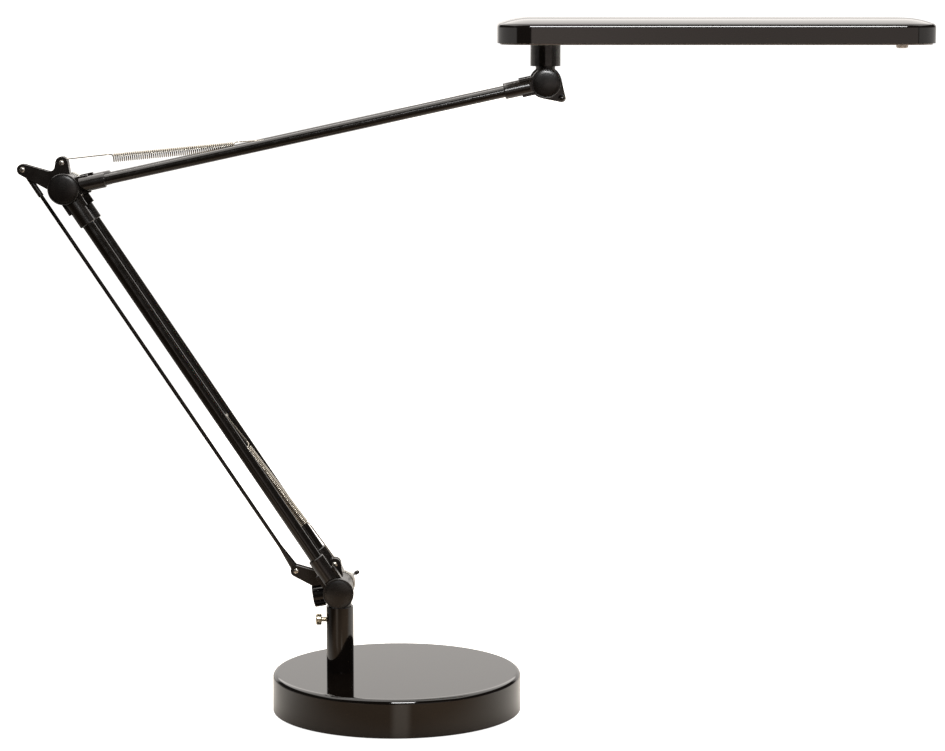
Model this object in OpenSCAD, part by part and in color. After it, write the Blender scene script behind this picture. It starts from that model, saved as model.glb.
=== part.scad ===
// Folding LED desk lamp: a weighted round base, a post, two double-tube spring arms,
// a parallelogram link rod and a long flat LED head on a tilting, turning neck.
// Millimetres. The origin is the centre of the base on the table, +X runs from the
// elbow side towards the lamp head, +Y is away from the user and +Z is up.

/* [Base] */
// Diameter of the round base
base_d = 190; // [170:1:230]
// Height of the base cover's top face above the table
base_h = 30; // [28:0.5:38]
// Radius of the rounded top edge of the base cover
base_edge_r = 3.7; // [1.5:0.1:5]
// Wall thickness of the base cover
cover_wall = 2.5; // [1.5:0.1:3.5]
// Gap under the base cover's skirt
skirt_lift = 1; // [0.5:0.1:1.5]
// Thickness of the soft foot pad
pad_t = 1.5; // [1:0.1:2.5]
// Thickness of the steel bottom plate
plate_t = 1.5; // [1:0.1:2.5]
// Gap between the counterweight and the base cover's wall
weight_gap = 4.5; // [3.5:0.1:12]
// Thickness of the counterweight
weight_t = 22; // [18:0.5:22]
// Height of the cord inlet's centre line above the table
inlet_z = 14; // [12:0.5:17]
// Bore of the cord inlet
inlet_bore_d = 5.4; // [3:0.1:6]

/* [Post] */
// Distance of the post from the middle of the base, on the elbow side
post_offset = 43.5; // [20:0.5:55]
// Outer diameter of the post
post_d = 20.9; // [18:0.1:26]
// Height of the post above the base cover
post_h = 50.5; // [44:0.5:90]
// Diameter of the swivel spindle in the post
spindle_d = 12; // [10:0.1:14]
// Depth of the swivel spindle in the post
spindle_depth = 38; // [30:0.5:41]
// Distance of the thumb screw below the post's top
thumb_drop = 10.7; // [8:0.1:16]
// Diameter of the thumb screw's head
thumb_head_d = 8.7; // [6:0.1:12]
// Distance from the post's top to the lower arm's pivot
pivot_rise = 14.2; // [13.8:0.1:20]

/* [Arms] */
// Length of each arm from pivot to pivot
arm_l = 367; // [300:1:460]
// Lean of the lower arm from upright at rest, in degrees
lower_lean = 33.5; // [15:0.5:40]
// Rise of the upper arm from level at rest, in degrees
upper_rise = 12.35; // [0:0.05:30]
// Distance between the two tubes of an arm, centre to centre
tube_pitch = 36; // [35:0.1:40]
// Outer diameter of the lower arm's tubes
lower_tube_d = 9.2; // [7:0.1:10]
// Outer diameter of the upper arm's tubes
upper_tube_d = 7.8; // [6:0.1:8.5]
// Wall thickness of the tubes
tube_wall = 1; // [0.8:0.1:1.5]
// Width of the flat part of the lower arm's knuckles
knuckle_w = 16; // [14:0.1:17]
// Width of the flat part of the upper arm's knuckles
upper_knuckle_w = 13.4; // [12:0.1:17]
// Length of the flat part of a knuckle, from the pivot
knuckle_l = 19; // [18:0.1:24]
// Length of the round collar that holds the tube
collar_l = 12.5; // [8:0.1:20]
// Diameter of the lower arm's collars
lower_collar_d = 12.4; // [11.5:0.1:13]
// Diameter of the upper arm's collars
upper_collar_d = 10.9; // [10:0.1:12]

/* [Joints] */
// Diameter of the three pivot axles
axle_d = 6; // [5:0.1:7]
// Half width of the bracket hubs between the arm's eyes
hub_half = 12.6; // [12:0.1:12.8]
// Radius of the bracket hubs
hub_r = 9.8; // [9:0.1:10.2]
// Thickness of a friction washer
washer_t = 0.8; // [0.4:0.1:1]
// Radius of the knuckle eyes
eye_r = 11.1; // [9.5:0.1:11.5]
// Diameter of the front caps on the two arm pivots
cap_d = 23.3; // [22:0.1:26]
// Diameter of the front cap on the head pivot
head_cap_d = 21.6; // [20:0.1:24]
// Thickness of a cap's rim
cap_t = 2.6; // [2.2:0.1:4]
// Height of a cap's domed face above its rim
cap_dome = 1.2; // [0.4:0.1:2]
// Diameter of the rear friction nuts
nut_d = 20.8; // [16:0.1:24]
// Thickness of the rear friction nuts
nut_t = 3.2; // [3:0.1:5]
// Reach of the clamping lever from the base pivot
lever_reach = 16; // [15:0.1:22]
// Direction of the clamping lever above level, in degrees
lever_angle = 29; // [0:1:60]
// Diameter of the ribbed tension knob
knob_d = 17.5; // [14:0.1:17.5]
// Length of the ribbed tension knob
knob_l = 8.9; // [7:0.1:11]
// Distance of the tension knob's inner face from the pivot line
knob_stand = 11.6; // [11.4:0.1:13]
// Slope of the tension knob's axis, in degrees
knob_tilt = 9.5; // [7:0.5:14]
// Number of ribs on the tension knob
knob_ribs = 14; // [10:1:18]

/* [Linkage and springs] */
// Distance of the link rod's ear from the pivot, away from the head
link_ear_x = 33; // [30:0.1:36]
// Height of the link rod's ear above the pivot
link_ear_z = 13.4; // [12:0.1:15]
// Radius of the link rod's ear
link_ear_r = 4.3; // [4:0.1:5]
// Distance of the spring's ear from the pivot, away from the head
spring_ear_x = 3.6; // [2:0.1:5]
// Height of the spring's ear above the pivot
spring_ear_z = 18.5; // [18:0.1:20]
// Radius of the spring's ear
spring_ear_r = 4.8; // [4.4:0.1:5.2]
// Half thickness of the bracket ears
ear_half = 4.3; // [3.8:0.1:5]
// Diameter of the link rod
rod_d = 2.9; // [2:0.1:3.2]
// Diameter of the sleeves at the ends of the link rod
rod_sleeve_d = 4.2; // [3.8:0.1:4.4]
// Length of a rod end from its eye to the sleeve's mouth
rod_end_l = 24; // [20:1:40]
// Diameter of the rivets in the ears
rivet_d = 3; // [2.4:0.1:3.2]
// Distance of the spring pin from the arm's lower pivot
spring_pin_at = 157; // [150:1:170]
// Outer diameter of the spring coils
coil_d = 6.8; // [5.5:0.1:7.5]
// Diameter of the spring wire
wire_d = 1; // [0.7:0.1:1.1]
// Length of the straight hook wire at the ear end
hook_ear_l = 38; // [30:1:42]
// Length of the straight hook wire at the pin end
hook_pin_l = 28; // [20:1:32]
// Number of turns in each spring
coil_turns = 34; // [20:1:40]

/* [Head] */
// Length of the lamp head
head_l = 321.6; // [280:1:400]
// Width of the lamp head
head_w = 120; // [110:1:150]
// Radius of the head's corners in plan
head_corner_r = 25; // [20:0.5:35]
// Height at which the crown of the head's top would meet the upright side
head_side_h = 13.7; // [13:0.1:18]
// Rise of the crown from the side to the middle
crown_rise = 5; // [2:0.1:7]
// Radius of the round edge between the side and the crown
head_edge_r = 3.2; // [2.8:0.1:5]
// Wall thickness of the head's top cover
head_wall = 2; // [1.5:0.1:2.4]
// Distance from the neck's centre line to the head's elbow end
neck_inset = 36.25; // [30:0.25:50]
// Height of the head's lower edge above the head pivot
head_lift = 29.7; // [26:0.1:40]
// Diameter of the neck collar
neck_d = 22.6; // [18:0.1:24]
// Diameter of the tang under the neck collar
tang_d = 14.6; // [12:0.1:16]
// Height of the neck collar's lower face above the head pivot
tang_h = 12.1; // [11.5:0.1:16]
// Diameter of the neck's turning spindle
neck_spindle_d = 9; // [7:0.1:10]
// Thickness of the bottom frame's plate
frame_t = 1.5; // [1.2:0.1:2]
// Depth by which the bottom frame stands proud of the cover
frame_proud = 1; // [0.5:0.1:2]
// Width of the bottom frame between the neck collar and the window
window_near = 8; // [6:0.5:20]
// Width of the bottom frame between the window and the head's far end
window_far = 52; // [50:1:80]
// Width of the bottom frame along the window's long sides
window_side = 17; // [15:0.5:24]
// Number of LEDs on each of the two strips
led_count = 18; // [12:1:20]
// Diameter of the switch button
button_d = 9; // [7:0.1:10]
// Distance of the switch button from the head's far end
button_inset = 19.3; // [18:0.1:24]
// Height of the switch button below the bottom frame
button_proud = 3.4; // [2:0.1:4]

/* [Hidden] */
$fn = 64;

// Radial clearance of a pin or axle that turns or fits in a bore
fit = 0.05;
// Clearance between curved faces of pieces that move past each other
clear = 0.3;
// Play between flat faces that slide on each other
play = 0.05;
// A little extra that lets a cut pass right through
past = 1;
// Parting gap between the two lapped eyes at the elbow
lap_gap = 0.1;

base_r = base_d / 2;
plate_top = pad_t + plate_t;
weight_top = base_h - cover_wall;
weight_bottom = weight_top - weight_t;
weight_r = base_r - cover_wall - weight_gap;
post_top = base_h + post_h;
base_pivot = [-post_offset, 0, post_top + pivot_rise];
elbow_pivot = base_pivot + arm_l * [-sin(lower_lean), 0, cos(lower_lean)];
head_pivot = elbow_pivot + arm_l * [cos(upper_rise), 0, sin(upper_rise)];

// Stack of faces along a pivot, from the hub outwards
eye_in = hub_half + washer_t + play;
eye_out = tube_pitch / 2 + lower_tube_d / 2 - 0.25;
eye_mid = (eye_in + eye_out) / 2;
cap_back = eye_out + 2 * play;
tube_y = tube_pitch / 2;
tube_start = knuckle_l + 1;
web_out = tube_y + 2;
socket_in = 8;
socket_root = cap_d / 2 + 2 * clear;
// Angle between the arms when the elbow is folded up as far as it goes, 26 degrees from rest
arms_closest = 90 - lower_lean + upper_rise - 26;

link_ear = [-link_ear_x, 0, link_ear_z];
spring_ear = [-spring_ear_x, 0, spring_ear_z];

head_mid_x = head_l / 2 - neck_inset;
head_end_x = head_l - neck_inset;
frame_bottom = head_lift - frame_proud;
frame_top = frame_bottom + frame_t;
button_x = head_end_x - button_inset;

// ---------- helpers ----------

// Points of an arc from angle a0 to a1
function arc(c, r, a0, a1, steps = 12) =
    [for (i = [0 : steps]) let (a = a0 + (a1 - a0) * i / steps) c + r * [cos(a), sin(a)]];

// Angle between the line of centres and the tangent of two circles
function tangent_tilt(c1, r1, c2, r2) = asin((r1 - r2) / norm(c2 - c1));

// Direction of the left-hand common tangent's normal, going from circle 1 to circle 2
function left_normal(c1, r1, c2, r2) =
    atan2(c2[1] - c1[1], c2[0] - c1[0]) + 90 - tangent_tilt(c1, r1, c2, r2);

// Direction of the right-hand common tangent's normal, going from circle 1 to circle 2
function right_normal(c1, r1, c2, r2) =
    atan2(c2[1] - c1[1], c2[0] - c1[0]) - 90 + tangent_tilt(c1, r1, c2, r2);

// Outline of a bar with a round at each end, joined by common tangents
function bar(c1, r1, c2, r2) =
    let (left = left_normal(c1, r1, c2, r2), right = right_normal(c1, r1, c2, r2))
    concat(arc(c2, r2, right, left, 16), arc(c1, r1, left, right + 360, 16));

// Point where two lines meet, each given by its normal's direction and its distance
function meet(n1, d1, n2, d2) =
    let (k = sin(n2 - n1)) [(d1 * sin(n2) - d2 * sin(n1)) / k, (d2 * cos(n1) - d1 * cos(n2)) / k];

// Hollow fillet of radius r in the corner between two lines
function corner_fillet(n1, d1, n2, d2, r) =
    concat([meet(n1, d1, n2, d2)], arc(meet(n1, d1 + r, n2, d2 + r), r, n1 + 180, n2 + 180, 8));

// Lays a plan drawn in X and Z flat about the XZ plane, from y = -half to y = half
module slab(half) {
    translate([0, half, 0])
        rotate([90, 0, 0])
            linear_extrude(2 * half)
                children();
}

// A cylinder along Y between two values of y
module y_rod(r, y0, y1) {
    translate([0, y0, 0])
        rotate([-90, 0, 0])
            cylinder(r = r, h = y1 - y0);
}

// Turns a profile of [radius, y] points about the Y axis
module y_turned(points) {
    rotate([-90, 0, 0])
        rotate_extrude()
            polygon(points);
}

// The places and lean of the two arms
module on_lower_arm() {
    translate(base_pivot)
        rotate([0, -lower_lean, 0])
            children();
}

module on_upper_arm() {
    translate(elbow_pivot)
        rotate([0, 90 - upper_rise, 0])
            children();
}

// The same piece at the front and the rear of an arm
module both_sides() {
    children();
    mirror([0, 1, 0])
        children();
}

// ---------- base ----------

weight_screw_r = weight_r - 13;
weight_rim_w = 22;
nut_recess_r = 17;
washer_base_t = 1.5;
post_nut_t = 6.5;
recess_top = weight_bottom + 10.5;
spigot_r = 7;
spigot_bottom = recess_top - washer_base_t - post_nut_t - 1;

module base_cover() {
    inner_r = base_r - cover_wall;
    inner_edge_r = max(base_edge_r - cover_wall, 0.5);
    color("#15130f")
        difference() {
            rotate_extrude($fn = 128)
                polygon(concat([[0, weight_top], [0, base_h]],
                    arc([base_r - base_edge_r, base_h - base_edge_r], base_edge_r, 90, 0, 10),
                    [[base_r, skirt_lift + 0.6], [base_r - 0.6, skirt_lift], [inner_r, skirt_lift]],
                    arc([inner_r - inner_edge_r, weight_top - inner_edge_r], inner_edge_r, 0, 90, 4)));
            translate([-post_offset, 0, weight_top - past])
                cylinder(r = spigot_r + 2 * fit, h = cover_wall + 2 * past);
            translate([0, 0, inlet_z])
                y_rod(inlet_neck_r + fit, base_r - 3 * cover_wall, base_r + past);
        }
}

module counterweight() {
    channel_w = 12;
    channel_turn = atan2(base_r, post_offset);
    color("#4a4a4c")
        difference() {
            rotate_extrude($fn = 96)
                polygon([[0, weight_bottom], [weight_r - weight_rim_w - 2, weight_bottom],
                    [weight_r - weight_rim_w, plate_top], [weight_r - 1, plate_top],
                    [weight_r, plate_top + 1], [weight_r, weight_top - 2], [weight_r - 2, weight_top],
                    [0, weight_top]]);
            translate([-post_offset, 0, 0]) {
                cylinder(r = spigot_r + 2 * fit, h = base_h);
                cylinder(r = nut_recess_r, h = recess_top);
                rotate([0, 0, channel_turn])
                    translate([0, -channel_w / 2, 0])
                        cube([base_d, channel_w, inlet_z + channel_w / 3]);
            }
            for (turn = [0 : 120 : 240])
                rotate([0, 0, turn])
                    translate([weight_screw_r, 0, plate_top - past])
                        cylinder(r = 2 + fit, h = 9 + past);
        }
}

module base_plate() {
    color("#8f9194")
        difference() {
            translate([0, 0, pad_t])
                cylinder(r = base_r - cover_wall - 1.5, h = plate_t, $fn = 96);
            for (turn = [0 : 120 : 240])
                rotate([0, 0, turn])
                    translate([weight_screw_r, 0, pad_t - past])
                        cylinder(r = 4 + fit, h = plate_t + 2 * past);
        }
}

module foot_pad() {
    color("#1c1c1e")
        cylinder(r = base_r - cover_wall - 2.5, h = pad_t, $fn = 96);
}

module base_screws() {
    color("#9a9c9f")
        for (turn = [0 : 120 : 240])
            rotate([0, 0, turn])
                translate([weight_screw_r, 0, pad_t]) {
                    cylinder(r = 4, h = plate_t);
                    cylinder(r = 2, h = plate_t + 8);
                }
}

inlet_neck_r = 4.6;
inlet_flange_r = 6.4;
inlet_flange_t = 2.5;

module cord_inlet() {
    inside = base_r - cover_wall - 0.3;
    color("#1b1a18")
        translate([0, 0, inlet_z])
            y_turned([[inlet_bore_d / 2, inside - 1.5], [inlet_flange_r - 0.4, inside - 1.5],
                [inlet_flange_r - 0.4, inside], [inlet_neck_r, inside], [inlet_neck_r, base_r],
                [inlet_flange_r, base_r], [inlet_flange_r, base_r + inlet_flange_t - 1],
                [inlet_flange_r - 1, base_r + inlet_flange_t],
                [inlet_bore_d / 2, base_r + inlet_flange_t]]);
}

// ---------- post ----------

thumb_z = post_top - thumb_drop;
thumb_shank_r = 1.7;
thumb_neck_l = 3.6;
thumb_head_t = 4.4;
groove_r = spindle_d / 2 - 0.7;
spindle_bottom = post_top - spindle_depth;
spindle_top = post_top + 5;
cable_r = 3;

module post() {
    post_r = post_d / 2;
    bore_r = spindle_d / 2 + fit;
    color("#171411")
        difference() {
            translate([-post_offset, 0, 0])
                rotate_extrude()
                    polygon([[cable_r, spigot_bottom], [spigot_r - 0.7, spigot_bottom],
                        [spigot_r, spigot_bottom + 0.7], [spigot_r, base_h], [post_r, base_h],
                        [post_r, post_top - 0.5], [post_r - 0.5, post_top], [bore_r, post_top],
                        [bore_r, spindle_bottom - 2], [cable_r, spindle_bottom - 4]]);
            translate([-post_offset, 0, thumb_z])
                rotate([0, -90, 0])
                    cylinder(r = thumb_shank_r + fit, h = post_d);
        }
}

module post_washer() {
    color("#a3a5a8")
        translate([-post_offset, 0, recess_top - washer_base_t])
            difference() {
                cylinder(r = 13.5, h = washer_base_t);
                translate([0, 0, -past])
                    cylinder(r = spigot_r + fit, h = washer_base_t + 2 * past);
            }
}

module post_nut() {
    color("#a3a5a8")
        translate([-post_offset, 0, recess_top - washer_base_t - post_nut_t])
            difference() {
                cylinder(r = 12.7, h = post_nut_t, $fn = 6);
                translate([0, 0, -past])
                    cylinder(r = spigot_r + fit, h = post_nut_t + 2 * past);
            }
}

module thumb_screw() {
    head_r = thumb_head_d / 2;
    head_in = post_d / 2 + thumb_neck_l;
    tip = groove_r + 0.1;
    color("#b5a58c")
        translate([-post_offset, 0, thumb_z])
            rotate([0, -90, 0]) {
                difference() {
                    rotate_extrude()
                        polygon([[0, tip], [thumb_shank_r - 0.5, tip], [thumb_shank_r, tip + 0.5],
                            [thumb_shank_r, head_in], [head_r - 0.6, head_in], [head_r, head_in + 0.6],
                            [head_r, head_in + thumb_head_t - 1.2],
                            [head_r - 0.5, head_in + thumb_head_t - 0.4],
                            [head_r - 1.6, head_in + thumb_head_t], [0, head_in + thumb_head_t]]);
                    for (turn = [0 : 20 : 340])
                        rotate([0, 0, turn])
                            translate([head_r + 0.25, 0, head_in - past])
                                cylinder(r = 0.5, h = thumb_head_t + 2 * past, $fn = 16);
                }
            }
}

// ---------- swivel and base joint ----------

neck_r = 9;
spring_foot = [-spring_ear_x, spring_ear_z - 14.5];
spring_foot_r = 7;
bracket_arm_r = 8;
bracket_fillet_r = 4;
rod_slot_half = rod_sleeve_d / 2 + clear;
rod_slot_root = hub_r + 1.4;
rod_slot_l = link_ear_x + link_ear_r + past - rod_slot_root;
spring_slot_half = 1.1;
link_eye_r = 3.6;

// Ear plate, hub and bores that the base and elbow brackets share, about the pivot
module bracket_body() {
    link_c = [link_ear[0], link_ear[2]];
    spring_c = [spring_ear[0], spring_ear[2]];
    arm_n = right_normal([0, 0], bracket_arm_r, link_c, link_ear_r);
    ear_n = left_normal(spring_foot, spring_foot_r, spring_c, spring_ear_r);
    ear_d = spring_foot * [cos(ear_n), sin(ear_n)] + spring_foot_r;
    difference() {
        union() {
            y_rod(hub_r, -hub_half, hub_half);
            slab(ear_half) {
                polygon(bar([0, 0], bracket_arm_r, link_c, link_ear_r));
                polygon(bar(spring_foot, spring_foot_r, spring_c, spring_ear_r));
                polygon(corner_fillet(arm_n, bracket_arm_r, ear_n, ear_d, bracket_fillet_r));
            }
            children();
        }
        y_rod(axle_d / 2 + fit, -hub_half - past, hub_half + past);
        translate(link_ear)
            y_rod(rivet_d / 2 + fit, -ear_half - past, ear_half + past);
        translate([-rod_slot_root - rod_slot_l, -rod_slot_half, -hub_r])
            cube([rod_slot_l, 2 * rod_slot_half, link_ear_z + 2 * hub_r]);
        translate(spring_ear) {
            y_rod(rivet_d / 2 + fit, -ear_half - past, ear_half + past);
            y_rod(spring_ear_r + 0.8, -spring_slot_half, spring_slot_half);
        }
    }
}

// Puts a child on the tension knob's sloping axis, with +Z pointing out of the knob
module on_knob_axis() {
    translate(base_pivot + [0, 0, -knob_axis_drop])
        rotate([0, -90 - knob_tilt, 0])
            children();
}

knob_axis_drop = 3.2;
knob_screw_r = 2.5;
knob_screw_start = axle_d / 2 + 3.5;
boss_r = 5.5;

module swivel_spindle() {
    color("#8d8f92")
        translate([-post_offset, 0, 0])
            difference() {
                rotate_extrude()
                    polygon([[0, spindle_bottom], [spindle_d / 2 - 0.6, spindle_bottom],
                        [spindle_d / 2, spindle_bottom + 0.6], [spindle_d / 2, thumb_z - 3],
                        [groove_r, thumb_z - 2.3], [groove_r, thumb_z + 2.3],
                        [spindle_d / 2, thumb_z + 3], [spindle_d / 2, spindle_top], [0, spindle_top]]);
                translate([0, 0, spindle_bottom - past])
                    cylinder(r = cable_r, h = spindle_top - spindle_bottom + 2 * past);
            }
}

module base_bracket() {
    color("#1b1815")
        difference() {
            translate(base_pivot)
                bracket_body()
                    union() {
                        translate([0, 0, -pivot_rise])
                            cylinder(r = neck_r, h = pivot_rise);
                        translate([0, 0, -knob_axis_drop])
                            rotate([0, -90 - knob_tilt, 0])
                                cylinder(r = boss_r, h = knob_stand - clear);
                    }
            translate([-post_offset, 0, post_top - past])
                cylinder(r = spindle_d / 2 + fit, h = spindle_top - post_top + past + play);
            on_knob_axis()
                cylinder(r = knob_screw_r + fit, h = 2 * knob_stand);
            on_knob_axis()
                translate([0, 0, knob_stand - clear])
                    cylinder(r = knob_d / 2 + 2 * clear, h = knob_l + 4);
            translate(base_pivot)
                y_rod(axle_d / 2 + fit, -hub_half - past, hub_half + past);
        }
}

// Cross bolt of a pivot, from inside the cap to just past the rear nut
module pivot_axle() {
    rear = cap_back + nut_t + 1;
    y_turned([[0, -cap_back - cap_t + 1], [axle_d / 2, -cap_back - cap_t + 1],
        [axle_d / 2, rear - 0.8], [axle_d / 2 - 0.8, rear], [0, rear]]);
}

// Domed front cap of a pivot, open at the back for the bolt's head
module pivot_cap(d) {
    r = d / 2;
    rim = -cap_back - cap_t;
    dome_r = (r * r + cap_dome * cap_dome) / (2 * cap_dome);
    dome_c = rim - cap_dome + dome_r;
    face_r = r - 0.9;
    face_y = dome_c - sqrt(dome_r * dome_r - face_r * face_r);
    dome_a = asin(face_r / dome_r);
    y_turned(concat(
        [for (i = [0 : 8]) let (a = dome_a * i / 8) [dome_r * sin(a), dome_c - dome_r * cos(a)]],
        [[r, face_y + 0.9], [r, -cap_back], [axle_d / 2 + fit, -cap_back],
            [axle_d / 2 + fit, rim + 0.9], [0, rim + 0.9]]));
}

// Round rear nut of a pivot with a chamfered rim
module pivot_nut(t) {
    r = nut_d / 2;
    y_turned([[axle_d / 2 + fit, cap_back], [r - 0.3, cap_back], [r, cap_back + 0.3],
        [r, cap_back + t - 0.7], [r - 0.7, cap_back + t], [axle_d / 2 + fit, cap_back + t]]);
}

// Pair of thin friction washers beside a hub
module hub_washers() {
    both_sides()
        y_turned([[axle_d / 2 + 2 * fit, hub_half], [eye_r - 0.9, hub_half],
            [eye_r - 0.9, hub_half + washer_t], [axle_d / 2 + 2 * fit, hub_half + washer_t]]);
}

// Two rivets with low round heads, through the link ear and the spring ear
module ear_rivets() {
    r = rivet_d / 2;
    head_r = r + 0.5;
    half = [for (p = [[0, ear_half + 0.9], [r, ear_half + 0.75], [head_r, ear_half + 0.3],
        [head_r, ear_half], [r, ear_half]]) p];
    for (place = [link_ear, spring_ear])
        translate(place)
            y_turned(concat(half, [for (i = [4 : -1 : 0]) [half[i][0], -half[i][1]]]));
}

module base_axle() {
    color("#9b9da0")
        translate(base_pivot)
            pivot_axle();
}

module base_cap() {
    color("#1a1917")
        translate(base_pivot)
            pivot_cap(cap_d);
}

module base_rivets() {
    color("#b9b6ac")
        translate(base_pivot)
            ear_rivets();
}

module base_washers() {
    color("#c9c8c2")
        translate(base_pivot)
            hub_washers();
}

module tension_knob() {
    r = knob_d / 2;
    rib = 1.1;
    step = 360 / knob_ribs;
    color("#1a1815")
        on_knob_axis()
            difference() {
                translate([0, 0, knob_stand])
                    union() {
                        cylinder(r = r - rib, h = knob_l);
                        for (i = [0 : knob_ribs - 1])
                            rotate([0, 0, i * step])
                                linear_extrude(knob_l - 0.8)
                                    polygon(concat(arc([0, 0], r - rib - 0.4, -step * 0.34, step * 0.34, 2),
                                        arc([0, 0], r, step * 0.22, -step * 0.22, 2)));
                    }
                translate([0, 0, knob_stand + knob_l - 1])
                    cylinder(r = r - 3.2, h = 2);
                translate([0, 0, knob_stand - past])
                    cylinder(r = knob_screw_r + fit, h = 5 + past);
            }
}

module tension_screw() {
    color("#9b9da0")
        on_knob_axis()
            translate([0, 0, knob_screw_start])
                cylinder(r = knob_screw_r, h = knob_stand + 5 - knob_screw_start - 2 * play);
}

lever_y = cap_back + nut_t / 2;
lever_pin_r = 0.9;
lever_tip_r = 1.6;
lever_tip_l = 4;

// Puts a child on the clamping lever's axis, with +Z pointing outwards
module on_lever_axis() {
    translate(base_pivot + [0, lever_y, 0])
        rotate([0, 90 - lever_angle, 0])
            children();
}

module clamp_nut() {
    color("#b4b3ae")
        difference() {
            translate(base_pivot)
                pivot_nut(nut_t);
            on_lever_axis()
                translate([0, 0, nut_d / 2 - 3])
                    cylinder(r = lever_pin_r + fit, h = 6);
        }
}

module clamp_lever() {
    color("#8a8c8f")
        on_lever_axis()
            translate([0, 0, nut_d / 2 - 3 + play])
                cylinder(r = lever_pin_r, h = lever_reach - nut_d / 2 + 3 - 2, $fn = 32);
}

module clamp_lever_tip() {
    color("#161513")
        on_lever_axis()
            translate([0, 0, lever_reach - lever_tip_l])
                rotate_extrude($fn = 32)
                    polygon(concat([[lever_pin_r + fit, 0], [lever_tip_r - 0.2, 0]],
                        arc([0, lever_tip_l - lever_tip_r], lever_tip_r, 0, 90, 6),
                        [[0, 2.2], [lever_pin_r + fit, 2.2]]));
}

// ---------- arms ----------

// One tube of an arm, with a hole for the spring pin in its inner side
module arm_tube(d, side) {
    difference() {
        translate([0, side * tube_y, tube_start])
            cylinder(d = d, h = arm_l - 2 * tube_start);
        translate([0, side * tube_y, tube_start - past])
            cylinder(d = d - 2 * tube_wall, h = arm_l - 2 * tube_start + 2 * past);
        translate([0, 0, spring_pin_at])
            y_rod(spring_pin_r + fit, min(0, side * tube_y), max(0, side * tube_y));
    }
}

// One moulded knuckle on the +Y side: flat eye, thin web and a round socket for the tube.
// Its full socket starts at the distance root, and up to there only what fits between the
// eye's two faces runs on into the eye. Where another arm's eye is lapped over this one, the
// socket is also cut back for that arm at the nearest angle it comes to.
module knuckle(y0, y1, web_w, collar_d, tube_d, root, nearest = 0) {
    socket_l = knuckle_l + collar_l - 0.6 - socket_in;
    difference() {
        union() {
            y_rod(eye_r, y0, y1);
            translate([-web_w / 2, y0, 0])
                cube([web_w, min(y1, web_out) - y0, knuckle_l]);
            difference() {
                translate([0, tube_y, socket_in])
                    cylinder(d = collar_d, h = socket_l);
                translate([-collar_d, y0 - collar_d, socket_in - past])
                    cube([2 * collar_d, collar_d, knuckle_l - socket_in + past]);
                translate([-collar_d, y1, socket_in - past])
                    cube([2 * collar_d, collar_d, root - socket_in + past]);
                if (nearest > 0)
                    rotate([0, nearest, 0])
                        translate([-knuckle_w / 2 - clear, y1, 0])
                            cube([knuckle_w + collar_d, collar_d, knuckle_l + collar_l]);
            }
            translate([0, tube_y, socket_in + socket_l])
                cylinder(d1 = collar_d, d2 = collar_d - 1.2, h = 0.6);
        }
        y_rod(axle_d / 2 + fit, y0 - past, y1 + past);
        translate([0, tube_y, tube_start - play])
            cylinder(d = tube_d + 2 * fit, h = collar_l + past);
    }
}

// Turns a piece of the near end round to the far end of an arm
module at_far_end() {
    translate([0, 0, arm_l])
        rotate([0, 180, 0])
            children();
}

spring_pin_r = 2;
spring_groove_r = 1.4;

// Cross pin between an arm's tubes, grooved in the middle for the spring's hook
module spring_pin(tube_d) {
    reach = tube_y - tube_d / 2 + tube_wall + 0.5;
    half = [[spring_groove_r, 0.9], [spring_pin_r, 1.5], [spring_pin_r, reach - 0.4],
        [spring_pin_r - 0.4, reach], [0, reach]];
    translate([0, 0, spring_pin_at])
        y_turned(concat([for (i = [4 : -1 : 0]) [half[i][0], -half[i][1]]], half));
}

module lower_tube_front() {
    color("#1d1a17")
        on_lower_arm()
            arm_tube(lower_tube_d, -1);
}

module lower_tube_rear() {
    color("#1d1a17")
        on_lower_arm()
            arm_tube(lower_tube_d, 1);
}

module lower_knuckles() {
    color("#191613")
        on_lower_arm() {
            mirror([0, 1, 0])
                knuckle(eye_in, eye_out, knuckle_w, lower_collar_d, lower_tube_d, socket_root);
            // The clamping lever swings beside this one
            knuckle(eye_in, eye_out, knuckle_w, lower_collar_d, lower_tube_d, knuckle_l);
        }
}

module lower_elbow_knuckles() {
    color("#191613")
        on_lower_arm()
            at_far_end()
                both_sides()
                    knuckle(eye_mid + lap_gap / 2, eye_out, knuckle_w, lower_collar_d,
                        lower_tube_d, socket_root);
}

module lower_spring_pin() {
    color("#c4c4c2")
        on_lower_arm()
            spring_pin(lower_tube_d);
}

module upper_tube_front() {
    color("#1d1a17")
        on_upper_arm()
            arm_tube(upper_tube_d, -1);
}

module upper_tube_rear() {
    color("#1d1a17")
        on_upper_arm()
            arm_tube(upper_tube_d, 1);
}

module upper_elbow_knuckles() {
    color("#191613")
        on_upper_arm()
            both_sides()
                knuckle(eye_in, eye_mid - lap_gap / 2, upper_knuckle_w, upper_collar_d,
                    upper_tube_d, socket_root, arms_closest);
}

module upper_head_knuckles() {
    color("#191613")
        on_upper_arm()
            at_far_end()
                both_sides()
                    knuckle(eye_in, eye_out, upper_knuckle_w, upper_collar_d, upper_tube_d,
                        socket_root);
}

module upper_spring_pin() {
    color("#c4c4c2")
        on_upper_arm()
            spring_pin(upper_tube_d);
}

// ---------- springs ----------

wire_r = wire_d / 2;
coil_r = coil_d / 2 - wire_r;
ear_loop_r = rivet_d / 2 + wire_r + 0.4;
pin_loop_r = spring_groove_r + wire_r + 0.2;
coil_steps = 8;

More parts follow.
